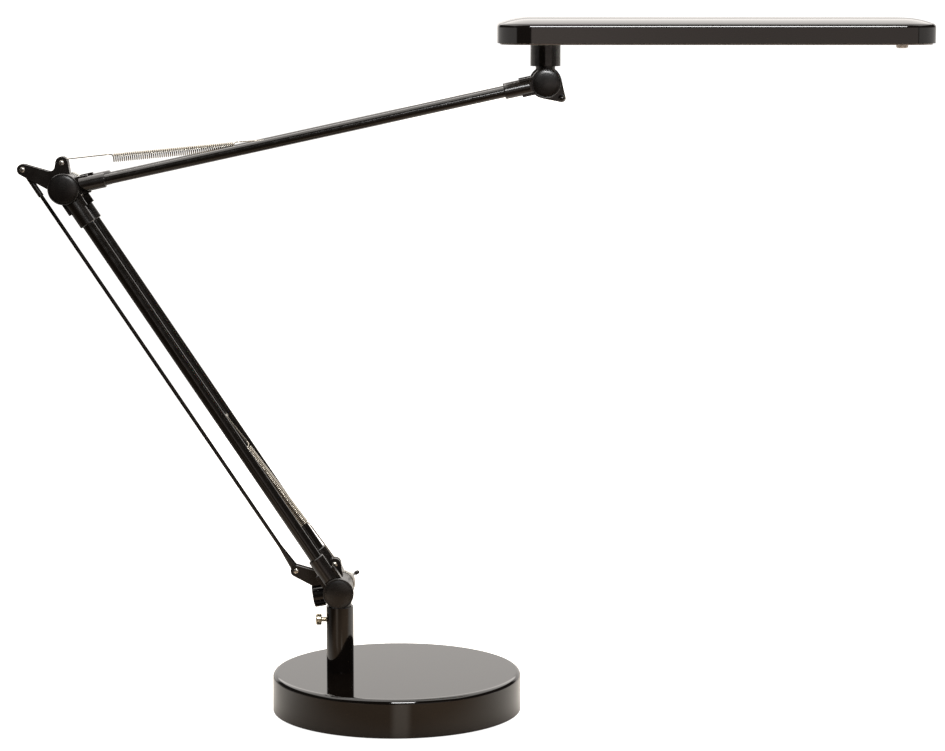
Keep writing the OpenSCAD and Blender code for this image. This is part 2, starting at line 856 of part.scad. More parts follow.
// The wire's centre line is given as [along, depth, across], from the ear's rivet.
// The hook's loop round the rivet opens onto the side of the coil, and half the straight run.
loop_top = [0, 0, ear_loop_r];
run_end = [hook_ear_l - 6, 0, coil_r - 0.1];
run_mid = (loop_top + run_end) / 2;
ear_hook_path = concat(
    [for (i = [0 : 9]) let (a = -60 - 210 * i / 9) [ear_loop_r * cos(a), 0, ear_loop_r * sin(a)]],
    [loop_top + 0.1 * (run_end - loop_top), run_mid]);

// The rest of the wire: it bends into the first turn, winds on and ends in the pin's hook
function coil_path(span) =
    let (coil_l = span - hook_ear_l - hook_pin_l,
        pitch = coil_l / coil_turns,
        steps = coil_turns * coil_steps)
    concat(
        [run_mid, run_end, [hook_ear_l - 2.2, 0, coil_r]],
        [for (i = [0 : steps])
            let (a = 360 * i / coil_steps,
                lead = 2 * pow(max(0, 1 - i / 2), 2),
                tail = 2 * pow(max(0, 1 - (steps - i) / 2), 2))
            [hook_ear_l + pitch * i / coil_steps - lead + tail, coil_r * sin(a), coil_r * cos(a)]],
        [[span - hook_pin_l + 2.2, 0, coil_r], [span - hook_pin_l + 6, 0, coil_r - 0.1]],
        [for (i = [0 : 9]) let (a = 90 - 210 * i / 9)
            [span + pin_loop_r * cos(a), 0, pin_loop_r * sin(a)]]);

function unit(v) = v / norm(v);

// Direction of the wire at a point of its path
function heading(path, i) =
    unit(path[min(i + 1, len(path) - 1)] - path[max(i - 1, 0)]);

// A normal carried along the wire without twisting it
function carried(normal, along) = unit(normal - (normal * along) * along);

// Round wire of six sides swept along a path
module wire(path) {
    sides = 6;
    last = len(path) - 1;
    normals = [for (i = 0, n = carried([0, 1, 0], heading(path, 0)); i <= last;
        i = i + 1, n = carried(n, heading(path, min(i, last)))) n];
    points = [for (i = [0 : last], k = [0 : sides - 1])
        let (n = normals[i], b = cross(heading(path, i), n), a = 360 * k / sides)
        path[i] + wire_r * (cos(a) * n + sin(a) * b)];
    skin = [for (i = [0 : last - 1], k = [0 : sides - 1])
        let (k1 = (k + 1) % sides, row = i * sides, next = row + sides)
        each [[row + k, next + k, next + k1], [row + k, next + k1, row + k1]]];
    ends = [[for (k = [0 : sides - 1]) k], [for (k = [sides - 1 : -1 : 0]) last * sides + k]];
    polyhedron(points, concat(skin, ends), convexity = 10);
}

// Lays a spring from a bracket's ear towards the pin of an arm that points in direction arm_a
module along_spring(pivot, arm_a, side) {
    run = spring_run(arm_a);
    translate(pivot + spring_ear)
        rotate([0, -atan2(run[2], run[0]), 0])
            mirror([0, 0, side < 0 ? 1 : 0])
                children();
}

// From the ear's rivet to the pin of an arm that points in direction arm_a
function spring_run(arm_a) = spring_pin_at * [cos(arm_a), 0, sin(arm_a)] - spring_ear;

module lower_spring() {
    arm_a = 90 + lower_lean;
    path = coil_path(norm(spring_run(arm_a)));
    color("#c8c8c6")
        along_spring(base_pivot, arm_a, -1)
            wire(concat(ear_hook_path, [for (i = [1 : len(path) - 1]) path[i]]));
}

module upper_spring() {
    color("#c8c8c6")
        along_spring(elbow_pivot, upper_rise, 1)
            wire(coil_path(norm(spring_run(upper_rise))));
}

// Ear end of the upper spring's wire, which travels as that spring stretches
module upper_spring_hook() {
    color("#c8c8c6")
        along_spring(elbow_pivot, upper_rise, 1)
            wire(ear_hook_path);
}

// ---------- link rod ----------

module on_link() {
    translate(base_pivot + link_ear)
        rotate([0, -lower_lean, 0])
            children();
}

rod_start = rod_end_l - 14;
rod_sleeve_r = rod_sleeve_d / 2;
rod_eye_half = rod_sleeve_r - 0.2;

module link_rod() {
    color("#1a1815")
        on_link()
            translate([0, 0, rod_start])
                cylinder(d = rod_d, h = arm_l - 2 * rod_start);
}

// Flat eye and sleeve of one rod end
module rod_end(eye_clear) {
    difference() {
        union() {
            y_rod(link_eye_r, -rod_eye_half, rod_eye_half);
            translate([0, 0, rivet_d / 2 + 1])
                cylinder(r = rod_sleeve_r, h = rod_end_l - rivet_d / 2 - 1);
        }
        y_rod(rivet_d / 2 + eye_clear, -rod_sleeve_r - past, rod_sleeve_r + past);
        translate([0, 0, rod_start - play])
            cylinder(d = rod_d + 2 * fit, h = rod_end_l);
    }
}

module link_rod_ends() {
    color("#171512")
        on_link() {
            rod_end(fit);
            at_far_end()
                rod_end(clear);
        }
}

// ---------- elbow ----------

module elbow_bracket() {
    color("#1b1815")
        translate(elbow_pivot)
            bracket_body();
}

module elbow_axle() {
    color("#9b9da0")
        translate(elbow_pivot)
            pivot_axle();
}

module elbow_cap() {
    color("#1a1917")
        translate(elbow_pivot)
            pivot_cap(cap_d);
}

module elbow_nut() {
    color("#b4b3ae")
        translate(elbow_pivot)
            pivot_nut(nut_t);
}

module elbow_rivets() {
    color("#b9b6ac")
        translate(elbow_pivot)
            ear_rivets();
}

module elbow_washers() {
    color("#c9c8c2")
        translate(elbow_pivot)
            hub_washers();
}

// ---------- head joint ----------

head_ear = [12.3, -11.8];
head_ear_r = 3;
head_disc_r = 12.2;
head_ear_half = 3;
ball_r = 2.65;
ball_shank_r = 1.25;
neck_spindle_top = frame_top + 6;

module head_bracket() {
    color("#1b1815")
        translate(head_pivot)
            difference() {
                union() {
                    y_rod(hub_r, -hub_half, hub_half);
                    slab(head_ear_half)
                        polygon(bar([0, 0], head_disc_r, head_ear, head_ear_r));
                    cylinder(d = tang_d, h = tang_h);
                    cylinder(d = neck_spindle_d, h = neck_spindle_top);
                }
                y_rod(axle_d / 2 + fit, -hub_half - past, hub_half + past);
                translate([head_ear[0], 0, head_ear[1]])
                    y_rod(ball_shank_r + fit, -head_ear_half - past, head_ear_half + past);
                translate([0, 0, hub_r])
                    cylinder(r = neck_spindle_d / 2 - 2, h = neck_spindle_top);
            }
}

module head_axle() {
    color("#9b9da0")
        translate(head_pivot)
            pivot_axle();
}

module head_cap() {
    color("#211f1c")
        translate(head_pivot)
            pivot_cap(head_cap_d);
}

module head_nut() {
    color("#b4b3ae")
        translate(head_pivot)
            pivot_nut(nut_t);
}

// Ball-headed screw in the bracket's ear, with its nut behind
module head_ear_screw() {
    ball_y = -head_ear_half - ball_r + 0.35;
    seat_r = sqrt(pow(ball_r, 2) - pow(ball_r - 0.35, 2));
    seat_a = asin(seat_r / ball_r);
    color("#141312")
        translate(head_pivot + [head_ear[0], 0, head_ear[1]])
            y_turned(concat(
                [for (i = [0 : 10]) let (a = (180 - seat_a) * i / 10)
                    [ball_r * sin(a), ball_y - ball_r * cos(a)]],
                [[ball_shank_r, -head_ear_half], [ball_shank_r, head_ear_half],
                    [2.4, head_ear_half], [2.4, head_ear_half + 1.8], [0, head_ear_half + 1.8]]));
}

module head_washers() {
    color("#c9c8c2")
        translate(head_pivot)
            hub_washers();
}

// ---------- head ----------

module on_head() {
    translate(head_pivot)
        children();
}

// Ring or disc about the neck between two heights
module neck_ring(r_in, r_out, z0, z1) {
    translate([0, 0, z0])
        difference() {
            cylinder(r = r_out, h = z1 - z0);
            translate([0, 0, -past])
                cylinder(r = r_in, h = z1 - z0 + 2 * past);
        }
}

module neck_collar() {
    color("#191714")
        on_head()
            neck_ring(neck_spindle_d / 2 + fit, neck_d / 2, tang_h, frame_bottom);
}

module neck_nut() {
    color("#a3a5a8")
        on_head()
            neck_ring(neck_spindle_d / 2 + fit, 7.5, frame_top, frame_top + 3.5);
}

// Plan of the head with round corners, drawn in a few clean pieces
module head_plan(inset) {
    l = head_l - 2 * inset;
    w = head_w - 2 * inset;
    r = head_corner_r - inset;
    translate([head_mid_x, 0])
        union() {
            square([l - 2 * r, w], center = true);
            square([l, w - 2 * r], center = true);
            for (x = [-1, 1], y = [-1, 1])
                translate([x * (l / 2 - r), y * (w / 2 - r)])
                    circle(r = r);
        }
}

// Height of the crown at a depth inwards from a side of plan radius r
function crown_z(depth, r, side_h) = side_h + crown_rise * (1 - pow(1 - depth / r, 2));

// Half section of the cover, set in from its outer face: upright side, round edge and a crown
// that flattens towards the middle
function rim_profile(inset) =
    let (r = head_corner_r - inset, side_h = head_side_h - inset, edge = head_edge_r - inset,
        slope = atan(2 * crown_rise / r * (1 - 0.6 * edge / r)),
        depth = edge * (1 - sin(slope)),
        edge_z = crown_z(depth, r, side_h) - edge * cos(slope))
    concat([[r, 0]], arc([r - edge, edge_z], edge, 0, 90 - slope, 4),
        [for (i = [1 : 7]) let (u = depth + (r - depth) * i / 7) [r - u, crown_z(u, r, side_h)]]);

// Sweeps a section round the head's plan: four quarter turns and four straight runs
module swept_round_plan(section) {
    lx = head_l - 2 * head_corner_r;
    ly = head_w - 2 * head_corner_r;
    translate([head_mid_x, 0, 0])
        for (x = [0, 1], y = [0, 1])
            mirror([x, 0, 0])
                mirror([0, y, 0]) {
                    translate([lx / 2, ly / 2, 0])
                        rotate_extrude(angle = 90)
                            polygon(section);
                    translate([lx / 2, ly / 2, 0])
                        rotate([90, 0, 0])
                            linear_extrude(ly / 2)
                                polygon(section);
                    translate([0, ly / 2, 0])
                        rotate([90, 0, 90])
                            linear_extrude(lx / 2)
                                polygon(section);
                }
}

// Skin of the cover: the swept rim and the flat middle of the crown
module cover_shell() {
    outer = rim_profile(0);
    inner = rim_profile(head_wall);
    last = len(inner) - 1;
    swept_round_plan(concat(outer, [for (i = [last : -1 : 0]) inner[i]]));
    translate([neck_side_x, -head_w / 2 + head_corner_r, head_side_h + crown_rise - head_wall])
        cube([head_l - 2 * head_corner_r, head_w - 2 * head_corner_r, head_wall]);
}

neck_side_x = -neck_inset + head_corner_r;
frame_inset = head_wall + 0.15;
frame_rim_t = 1.5;
frame_rim_in = frame_inset + frame_rim_t;
boss_r_head = 3.2;
boss_corner = head_corner_r - frame_rim_in - boss_r_head - 1;
boss_inset = head_corner_r - boss_corner / sqrt(2);
screw_places = [for (x = [-neck_inset + boss_inset, head_end_x - boss_inset], y = [-1, 1])
    [x, y * (head_w / 2 - boss_inset)]];
frame_screw_r = 1.25;

module top_cover() {
    color("#1a1714")
        on_head()
            translate([0, 0, head_lift])
                difference() {
                    union() {
                        cover_shell();
                        intersection() {
                            for (p = screw_places)
                                translate([p[0], p[1], frame_top - head_lift])
                                    cylinder(r = boss_r_head, h = head_side_h + crown_rise, $fn = 32);
                            swept_round_plan(concat(rim_profile(head_wall / 2), [[0, 0]]));
                        }
                    }
                    for (p = screw_places)
                        translate([p[0], p[1], -past])
                            cylinder(r = frame_screw_r + fit, h = 8 + past, $fn = 32);
                }
}

window_x = neck_d / 2 + window_near;
window_l = head_end_x - window_far - window_x;
window_w = head_w - 2 * window_side;
sheet_margin = 2.5;

module bottom_frame() {
    rib_h = 3;
    color("#d9d8d4")
        on_head()
            difference() {
                union() {
                    translate([0, 0, frame_bottom])
                        linear_extrude(frame_t)
                            head_plan(frame_inset);
                    translate([0, 0, frame_top])
                        linear_extrude(rib_h)
                            difference() {
                                head_plan(frame_inset);
                                head_plan(frame_rim_in);
                            }
                }
                translate([window_x, -window_w / 2, frame_bottom - past])
                    cube([window_l, window_w, frame_t + 2 * past]);
                translate([0, 0, frame_bottom - past])
                    cylinder(d = neck_spindle_d + 2 * fit, h = frame_t + 2 * past);
                translate([button_x, 0, frame_bottom - past])
                    cylinder(d = button_d + 2 * clear, h = frame_t + 2 * past);
                for (p = screw_places)
                    translate([p[0], p[1], frame_bottom - past])
                        cylinder(r = 2.8 + fit, h = frame_t + rib_h + past, $fn = 32);
            }
}

module frame_screws() {
    color("#55565a")
        on_head()
            for (p = screw_places)
                translate([p[0], p[1], frame_bottom + 0.1]) {
                    cylinder(r = 2.8, h = frame_t - 0.1, $fn = 32);
                    cylinder(r = frame_screw_r, h = 7, $fn = 32);
                }
}

diffuser_t = 2;
guide_t = 3;
heat_plate_t = 1.5;

// A flat sheet over the window, wider than it by a margin on each side
module window_sheet(margin, z0, t) {
    translate([window_x - margin, -window_w / 2 - margin, z0])
        cube([window_l + 2 * margin, window_w + 2 * margin, t]);
}

module diffuser() {
    color("#f3f2ec")
        on_head()
            window_sheet(sheet_margin, frame_top, diffuser_t);
}

module light_guide() {
    color("#e8f0f2")
        on_head()
            window_sheet(sheet_margin - 1, frame_top + diffuser_t, guide_t);
}

module heat_plate() {
    color("#b9bbbd")
        on_head()
            window_sheet(sheet_margin + 2, frame_top + diffuser_t + guide_t, heat_plate_t);
}

// Two strips of small LEDs that shine into the long edges of the light guide
module led_strips() {
    board_t = 0.8;
    led_t = 0.4;
    led_w = 3.5;
    pitch = window_l / led_count;
    y0 = window_w / 2 + sheet_margin - 1;
    color("#e9e7d6")
        on_head()
            both_sides()
                translate([window_x, y0 + 0.1, frame_top + diffuser_t + 0.1]) {
                    translate([0, led_t, 0])
                        cube([window_l, board_t, guide_t - 0.2]);
                    for (i = [0 : led_count - 1])
                        translate([(i + 0.5) * pitch - led_w / 2, 0, 0.5])
                            cube([led_w, led_t, guide_t - 1.2]);
                }
}

board_z = frame_top + 5.8;
button_flange_t = 1;
button_travel = 0.8;

module driver_board() {
    x0 = window_x + window_l + sheet_margin + 4;
    board_l = head_end_x - frame_rim_in - 6 - x0;
    board_w = head_w / 2;
    color("#2f5b3a")
        on_head() {
            difference() {
                union() {
                    translate([x0, -board_w / 2, board_z])
                        cube([board_l, board_w, 1.6]);
                    for (y = [-1, 1])
                        translate([x0 + board_l / 4, y * (board_w / 2 - 9), board_z + 1.6])
                            cylinder(r = 2.6, h = 2.2, $fn = 32);
                    translate([x0 + board_l / 2, 7, board_z + 1.6])
                        cube([board_l / 3, 8, 2.2]);
                    for (x = [3, board_l - 3], y = [-1, 1])
                        translate([x0 + x, y * (board_w / 2 - 3), frame_top])
                            cylinder(r = 2, h = board_z - frame_top, $fn = 32);
                }
            }
        }
}

module switch_body() {
    body_w = 12;
    body_bottom = frame_top + button_flange_t + button_travel + 0.3;
    color("#202022")
        on_head()
            translate([button_x - body_w / 2, -body_w / 2, body_bottom])
                cube([body_w, body_w, board_z - body_bottom]);
}

module switch_button() {
    r = button_d / 2;
    low = frame_bottom - button_proud;
    color("#cfcfcb")
        on_head()
            translate([button_x, 0, 0])
                rotate_extrude()
                    polygon(concat([[0, low]], arc([r - 1, low + 1], 1, -90, 0, 6),
                        [[r, frame_top + play], [r + 1.6, frame_top + play],
                            [r + 1.6, frame_top + play + button_flange_t],
                            [0, frame_top + play + button_flange_t]]));
}

// ---------- the assembly ----------

base_cover();
counterweight();
base_plate();
foot_pad();
base_screws();
cord_inlet();
post();
post_washer();
post_nut();
thumb_screw();
swivel_spindle();
base_bracket();
base_axle();
base_cap();
base_rivets();
base_washers();
tension_knob();
tension_screw();
clamp_nut();
clamp_lever();
clamp_lever_tip();
lower_tube_front();
lower_tube_rear();
lower_knuckles();
lower_elbow_knuckles();
lower_spring_pin();
lower_spring();
link_rod();
link_rod_ends();
elbow_bracket();
elbow_axle();
elbow_cap();
elbow_nut();
elbow_rivets();
elbow_washers();
upper_tube_front();
upper_tube_rear();
upper_elbow_knuckles();
upper_head_knuckles();
upper_spring_pin();
upper_spring();
upper_spring_hook();
head_bracket();
head_axle();
head_cap();
head_nut();
head_ear_screw();
head_washers();
neck_collar();
neck_nut();
top_cover();
bottom_frame();
frame_screws();
diffuser();
light_guide();
led_strips();
heat_plate();
driver_board();
switch_body();
switch_button();
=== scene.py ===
# Folding LED desk lamp, dressed piece by piece in the order it is put together:
# base, post, base joint, arms, link rod, springs, head joint and the flat LED head.
import math
import bmesh
import bpy
from mathutils import Matrix, Vector


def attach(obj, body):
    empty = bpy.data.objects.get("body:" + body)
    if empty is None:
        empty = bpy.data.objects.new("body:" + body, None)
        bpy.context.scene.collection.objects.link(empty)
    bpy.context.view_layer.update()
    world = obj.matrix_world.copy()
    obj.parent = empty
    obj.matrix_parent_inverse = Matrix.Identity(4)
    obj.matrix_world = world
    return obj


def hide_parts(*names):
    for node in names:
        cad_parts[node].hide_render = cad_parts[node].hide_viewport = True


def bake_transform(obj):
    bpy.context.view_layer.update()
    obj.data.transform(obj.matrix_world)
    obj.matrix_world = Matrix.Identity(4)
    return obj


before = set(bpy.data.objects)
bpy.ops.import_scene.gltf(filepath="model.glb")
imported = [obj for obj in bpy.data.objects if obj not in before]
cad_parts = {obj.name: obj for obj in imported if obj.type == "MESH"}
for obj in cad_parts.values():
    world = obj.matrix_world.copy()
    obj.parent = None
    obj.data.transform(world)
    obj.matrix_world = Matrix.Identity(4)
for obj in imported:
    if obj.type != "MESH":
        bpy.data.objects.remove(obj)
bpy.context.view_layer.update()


# ---------- Base cover ----------
# The round cover of the base is a deep-drawn steel shell with a wide rolled edge, sprayed
# and stoved in gloss black. It hangs over the counterweight with a small gap to the table,
# and the cord inlet passes through its back wall.
mm = 0.001
base_d, base_h, base_edge_r = 190 * mm, 30 * mm, 3.7 * mm
cover_wall, skirt_lift = 2.5 * mm, 1 * mm
inlet_z, inlet_hole_r = 14 * mm, 4.65 * mm


def linear(shade):
    """An sRGB hex colour as linear red, green, blue and alpha."""
    parts = [int(shade[i:i + 2], 16) / 255 for i in (0, 2, 4)]
    return [p / 12.92 if p <= 0.04045 else ((p + 0.055) / 1.055) ** 2.4 for p in parts] + [1]


def add_node(finish, kind, settings={}, links={}):
    """Adds one node, sets its own values or its sockets, and links sockets to (node, output)."""
    node = finish.node_tree.nodes.new("ShaderNode" + kind)
    for key, value in settings.items():
        if isinstance(key, str) and hasattr(node, key):
            setattr(node, key, value)
        else:
            node.inputs[key].default_value = value
    for key, (source, output) in links.items():
        finish.node_tree.links.new(source.outputs[output], node.inputs[key])
    return node


def new_finish(name):
    """An empty material made of nodes, and the output that lays a pattern on the piece."""
    finish = bpy.data.materials.new(name)
    finish.use_nodes = True
    finish.node_tree.nodes.clear()
    return finish, (add_node(finish, "TexCoord"), "Object")


def patchy_finish(name, patch, tones, detail=2, shine=None, span=(0.3, 0.7), grain=None,
                  stretch=(1, 1, 1), **skin):
    """A finish whose colour runs between two tones in soft patches of a given size, and its
    roughness over the shine's range where the patches cross the span. The grain is a relief
    on it: its size, detail, strength and depth. The rest are the skin's own settings."""
    finish, laid = new_finish(name)
    drawn = laid
    if stretch != (1, 1, 1):
        drawn = (add_node(finish, "Mapping", {"Scale": stretch}, {"Vector": laid}), "Vector")
    patches = add_node(finish, "TexNoise", {"Scale": 1 / patch, "Detail": detail},
                       {"Vector": drawn})
    tone = add_node(finish, "Mix", {"data_type": 'RGBA', 6: linear(tones[0]), 7: linear(tones[1])},
                    {0: (patches, "Fac")})
    links = {"Base Color": (tone, 2)}
    if shine:
        dulled = add_node(finish, "MapRange",
                          {"From Min": span[0], "From Max": span[1], "To Min": shine[0],
                           "To Max": shine[1]}, {"Value": (patches, "Fac")})
        links["Roughness"] = (dulled, 0)
    if grain:
        size, fineness, strength, depth = grain
        relief = add_node(finish, "TexNoise", {"Scale": 1 / size, "Detail": fineness},
                          {"Vector": laid})
        bump = add_node(finish, "Bump", {"Strength": strength, "Distance": depth},
                        {"Height": (relief, "Fac")})
        links["Normal"] = (bump, 0)
    surface = add_node(finish, "BsdfPrincipled", skin, links)
    add_node(finish, "OutputMaterial", {}, {"Surface": (surface, 0)})
    return finish


def alone(piece):
    """Selects one piece and nothing else."""
    bpy.ops.object.select_all(action='DESELECT')
    piece.select_set(True)
    bpy.context.view_layer.objects.active = piece


def begin(kind, name, **sizes):
    """Adds a primitive on its own and opens it in edit mode with nothing selected."""
    bpy.ops.object.select_all(action='DESELECT')
    getattr(bpy.ops.mesh, "primitive_" + kind + "_add")(**sizes)
    piece = bpy.context.object
    piece.name = piece.data.name = name
    bpy.ops.object.mode_set(mode='EDIT')
    bpy.ops.mesh.select_mode(type='VERT')
    bpy.ops.mesh.select_all(action='DESELECT')
    return piece


def pick(piece, kind, wanted):
    """Selects the vertices, edges or faces that wanted says yes to, and nothing else."""
    shape = bmesh.from_edit_mesh(piece.data)
    bpy.ops.mesh.select_mode(type=kind)
    bpy.ops.mesh.select_all(action='DESELECT')
    for part in {'VERT': shape.verts, 'EDGE': shape.edges, 'FACE': shape.faces}[kind]:
        if wanted(part):
            part.select_set(True)
    shape.select_flush_mode()
    bmesh.update_edit_mesh(piece.data)


def draw_out(x, y, z):
    """Extrudes what is selected along a way."""
    bpy.ops.mesh.extrude_region_move(TRANSFORM_OT_translate={"value": (x, y, z)})


def finish_shape(piece, edge=0, steps=2, angle=30):
    """Leaves edit mode, rounds the sharp edges and shades the piece smooth between them."""
    if bpy.context.mode != 'OBJECT':
        bpy.ops.object.mode_set(mode='OBJECT')
    alone(piece)
    bpy.ops.object.transform_apply(location=True, rotation=True, scale=True)
    if edge:
        bevel = piece.modifiers.new("rounded edges", 'BEVEL')
        bevel.width, bevel.segments = edge, steps
        bevel.limit_method, bevel.angle_limit = 'ANGLE', math.radians(angle)
        bpy.ops.object.modifier_apply(modifier=bevel.name)
    bpy.ops.object.shade_smooth_by_angle(angle=math.radians(angle))
    weighted = piece.modifiers.new("flat faces stay flat", 'WEIGHTED_NORMAL')
    weighted.keep_sharp = True
    bpy.ops.object.modifier_apply(modifier=weighted.name)


def fit_piece(piece, finish, body, slot, *nodes):
    """Gives a finished piece its material, its body and the CAD nodes that it stands for."""
    piece.data.materials.clear()
    piece.data.materials.append(finish)
    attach(piece, body)
    if nodes:
        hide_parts(*nodes)


cover = begin("cylinder", "base_shell", vertices=192, radius=base_d / 2,
              depth=base_h - skirt_lift, location=(0, 0, (base_h + skirt_lift) / 2))
pick(cover, 'EDGE', lambda e: all(v.co.z > 0 for v in e.verts))
bpy.ops.mesh.bevel(offset=base_edge_r, segments=10)
# A narrow ring round the flat top keeps its shading flat.
pick(cover, 'FACE', lambda f: f.normal.z > 0.999)
bpy.ops.mesh.inset(thickness=0.4 * mm)
pick(cover, 'FACE', lambda f: f.normal.z < -0.999)
bpy.ops.mesh.inset(thickness=cover_wall)
draw_out(0, 0, base_h - skirt_lift - cover_wall)
finish_shape(cover)

# The inlet's hole in the back wall is drilled through.
drill = begin("cylinder", "inlet_drill", vertices=48, radius=inlet_hole_r, depth=12 * mm,
              location=(0, base_d / 2, inlet_z), rotation=(math.pi / 2, 0, 0))
bpy.ops.object.mode_set(mode='OBJECT')
cut = cover.modifiers.new("inlet hole", 'BOOLEAN')
cut.operation, cut.solver, cut.object = 'DIFFERENCE', 'EXACT', drill
alone(cover)
bpy.ops.object.modifier_apply(modifier=cut.name)
bpy.data.objects.remove(drill)

# Gloss stove enamel: deep black and almost a mirror. Sprayed enamel keeps a faint orange
# peel of about 2.5 mm, and handling leaves slightly duller patches some 40 mm wide.
gloss_enamel = patchy_finish(
    "gloss_stove_enamel", patch=40 * mm, detail=3, tones=("060403", "0b0806"),
    shine=(0.035, 0.07), span=(0.35, 0.7), grain=(2.5 * mm, 1, 0.12, 0.01 * mm), IOR=1.5)
fit_piece(cover, gloss_enamel, "base", "cover_gloss", "base_cover")


# ---------- Counterweight ----------
# A sand-cast iron disc that fills the cover and keeps the long arms from tipping the lamp.
# The casting skin is left rough and dark, and it is seen only with the bottom plate off.
def dress(finish, *nodes):
    """Gives CAD nodes whose shape is right a better material."""
    for node in nodes:
        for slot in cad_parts[node].material_slots:
            slot.material = finish


cast_iron = patchy_finish(
    "sand_cast_iron", patch=1.2 * mm, detail=4, tones=("2f2e2e", "565351"),
    grain=(1.2 * mm, 4, 0.6, 0.3 * mm), Metallic=1, Roughness=0.72)
dress(cast_iron, "counterweight")


# ---------- Bottom plate, nut and screws of the base ----------
# The bottom plate is blanked from sheet steel and zinc plated, as are its three screws and
# the washer and nut that pull the post down on the cover.
zinc_plate, laid = new_finish("zinc_plated_steel")
# The clear passivate leaves faint blue and straw clouds, about 25 mm wide, on a fine grain.
clouds = add_node(zinc_plate, "TexNoise", {"Scale": 1 / (25 * mm)}, {"Vector": laid})
tint = add_node(zinc_plate, "Mix", {"data_type": 'RGBA', 6: linear("a9adb2"), 7: linear("b5b0a2")},
                {0: (clouds, "Fac")})
grit = add_node(zinc_plate, "TexNoise", {"Scale": 1 / (0.6 * mm)}, {"Vector": laid})
matt = add_node(zinc_plate, "MapRange",
                {"From Min": 0.3, "From Max": 0.7, "To Min": 0.28, "To Max": 0.42},
                {"Value": (grit, "Fac")})
zinc = add_node(zinc_plate, "BsdfPrincipled", {"Metallic": 1},
                {"Base Color": (tint, 2), "Roughness": (matt, 0)})
add_node(zinc_plate, "OutputMaterial", {}, {"Surface": (zinc, 0)})
dress(zinc_plate, "base_plate", "base_screws", "post_washer", "post_nut")


# ---------- Foot pad ----------
# A disc of closed-cell foam rubber glued under the plate, so the base grips the table and
# doesn't scratch it. The cells are about 0.8 mm across.
foam_rubber, laid = new_finish("closed_cell_foam_rubber")
cells = add_node(foam_rubber, "TexVoronoi", {"Scale": 1 / (0.8 * mm)}, {"Vector": laid})
pores = add_node(foam_rubber, "Bump", {"Strength": 0.5, "Distance": 0.2 * mm},
                 {"Height": (cells, "Distance")})
tone = add_node(foam_rubber, "Mix",
                {"data_type": 'RGBA', 6: linear("121213"), 7: linear("26262a")},
                {0: (cells, "Distance")})
foam = add_node(foam_rubber, "BsdfPrincipled", {"Roughness": 0.9},
                {"Base Color": (tone, 2), "Normal": (pores, 0)})
add_node(foam_rubber, "OutputMaterial", {}, {"Surface": (foam, 0)})
dress(foam_rubber, "foot_pad")


# ---------- Cord inlet ----------
# A moulded nylon bush snapped into the cover's back wall, with a rounded lip that keeps the
# cord off the steel edge. Its bore is open.
def turned(name, profile, foot, along, steps=96, edge=0, edge_steps=2):
    """Turns (radius, distance) points about the line from foot along a direction, as on a
    lathe: a single point is drawn out into the profile, then spun all the way round."""
    piece = begin("plane", name, size=2 * mm)
    bpy.ops.mesh.select_all(action='SELECT')
    bpy.ops.mesh.merge(type='CENTER')
    bpy.ops.transform.translate(value=(profile[0][0], 0, profile[0][1]))
    for here, there in zip(profile, profile[1:]):
        draw_out(there[0] - here[0], 0, there[1] - here[1])
    bpy.ops.mesh.select_all(action='SELECT')
    bpy.ops.mesh.spin(steps=steps, angle=2 * math.pi, center=(0, 0, 0), axis=(0, 0, 1))
    bpy.ops.mesh.select_all(action='SELECT')
    bpy.ops.mesh.remove_doubles(threshold=0.002 * mm)
    bpy.ops.mesh.normals_make_consistent(inside=False)
    bpy.ops.object.mode_set(mode='OBJECT')
    turn = Vector((0, 0, 1)).rotation_difference(Vector(along)).to_matrix().to_4x4()
    piece.matrix_world = Matrix.Translation(foot) @ turn
    finish_shape(piece, edge, edge_steps)
    return piece


inlet_inside = base_d / 2 - cover_wall - 0.3 * mm
bore_r, flange_r, bush_neck_r = 2.7 * mm, 6.4 * mm, 4.6 * mm
clip_y, flange_y, lip_y = -1.5 * mm, 2.8 * mm, 5.3 * mm
bush = turned("inlet_bush", [
    (bore_r, clip_y), (flange_r - 0.4 * mm, clip_y), (flange_r - 0.4 * mm, 0),
    (bush_neck_r, 0), (bush_neck_r, flange_y), (flange_r, flange_y), (flange_r, lip_y - 1 * mm),
    (flange_r - 1 * mm, lip_y), (bore_r + 0.6 * mm, lip_y), (bore_r, lip_y - 0.6 * mm),
    (bore_r, clip_y)], (0, inlet_inside, inlet_z), (0, 1, 0), steps=64, edge=0.25 * mm)

# Moulded nylon: satin black with the even, fine grain of a spark-eroded mould. The grain is
# about 0.3 mm on the real piece and drawn at 0.6 mm so that it still shows.
moulded_nylon = patchy_finish(
    "moulded_black_nylon", patch=9 * mm, tones=("0d0a08", "130f0c"),
    shine=(0.2, 0.27), grain=(0.6 * mm, 2, 0.12, 0.02 * mm), IOR=1.53)
fit_piece(bush, moulded_nylon, "base", "black_rubber", "cord_inlet")


# ---------- Post ----------
# A steel tube welded to a threaded spigot, polished and enamelled with the cover. Its top
# rim is broken by a small radius, and the zinc-plated swivel spindle turns inside it.
post_x, post_r, post_bore_r, post_top = -43.5 * mm, 10.45 * mm, 6.1 * mm, 80.5 * mm
post = turned("post_tube", [
    (post_bore_r, post_top - 8 * mm), (post_bore_r, post_top), (post_r, post_top),
    (post_r, base_h), (post_bore_r, base_h)],
    (post_x, 0, 0), (0, 0, 1), edge=0.4 * mm, edge_steps=3)
fit_piece(post, gloss_enamel, "base", "cover_gloss", "post")
dress(zinc_plate, "swivel_spindle")


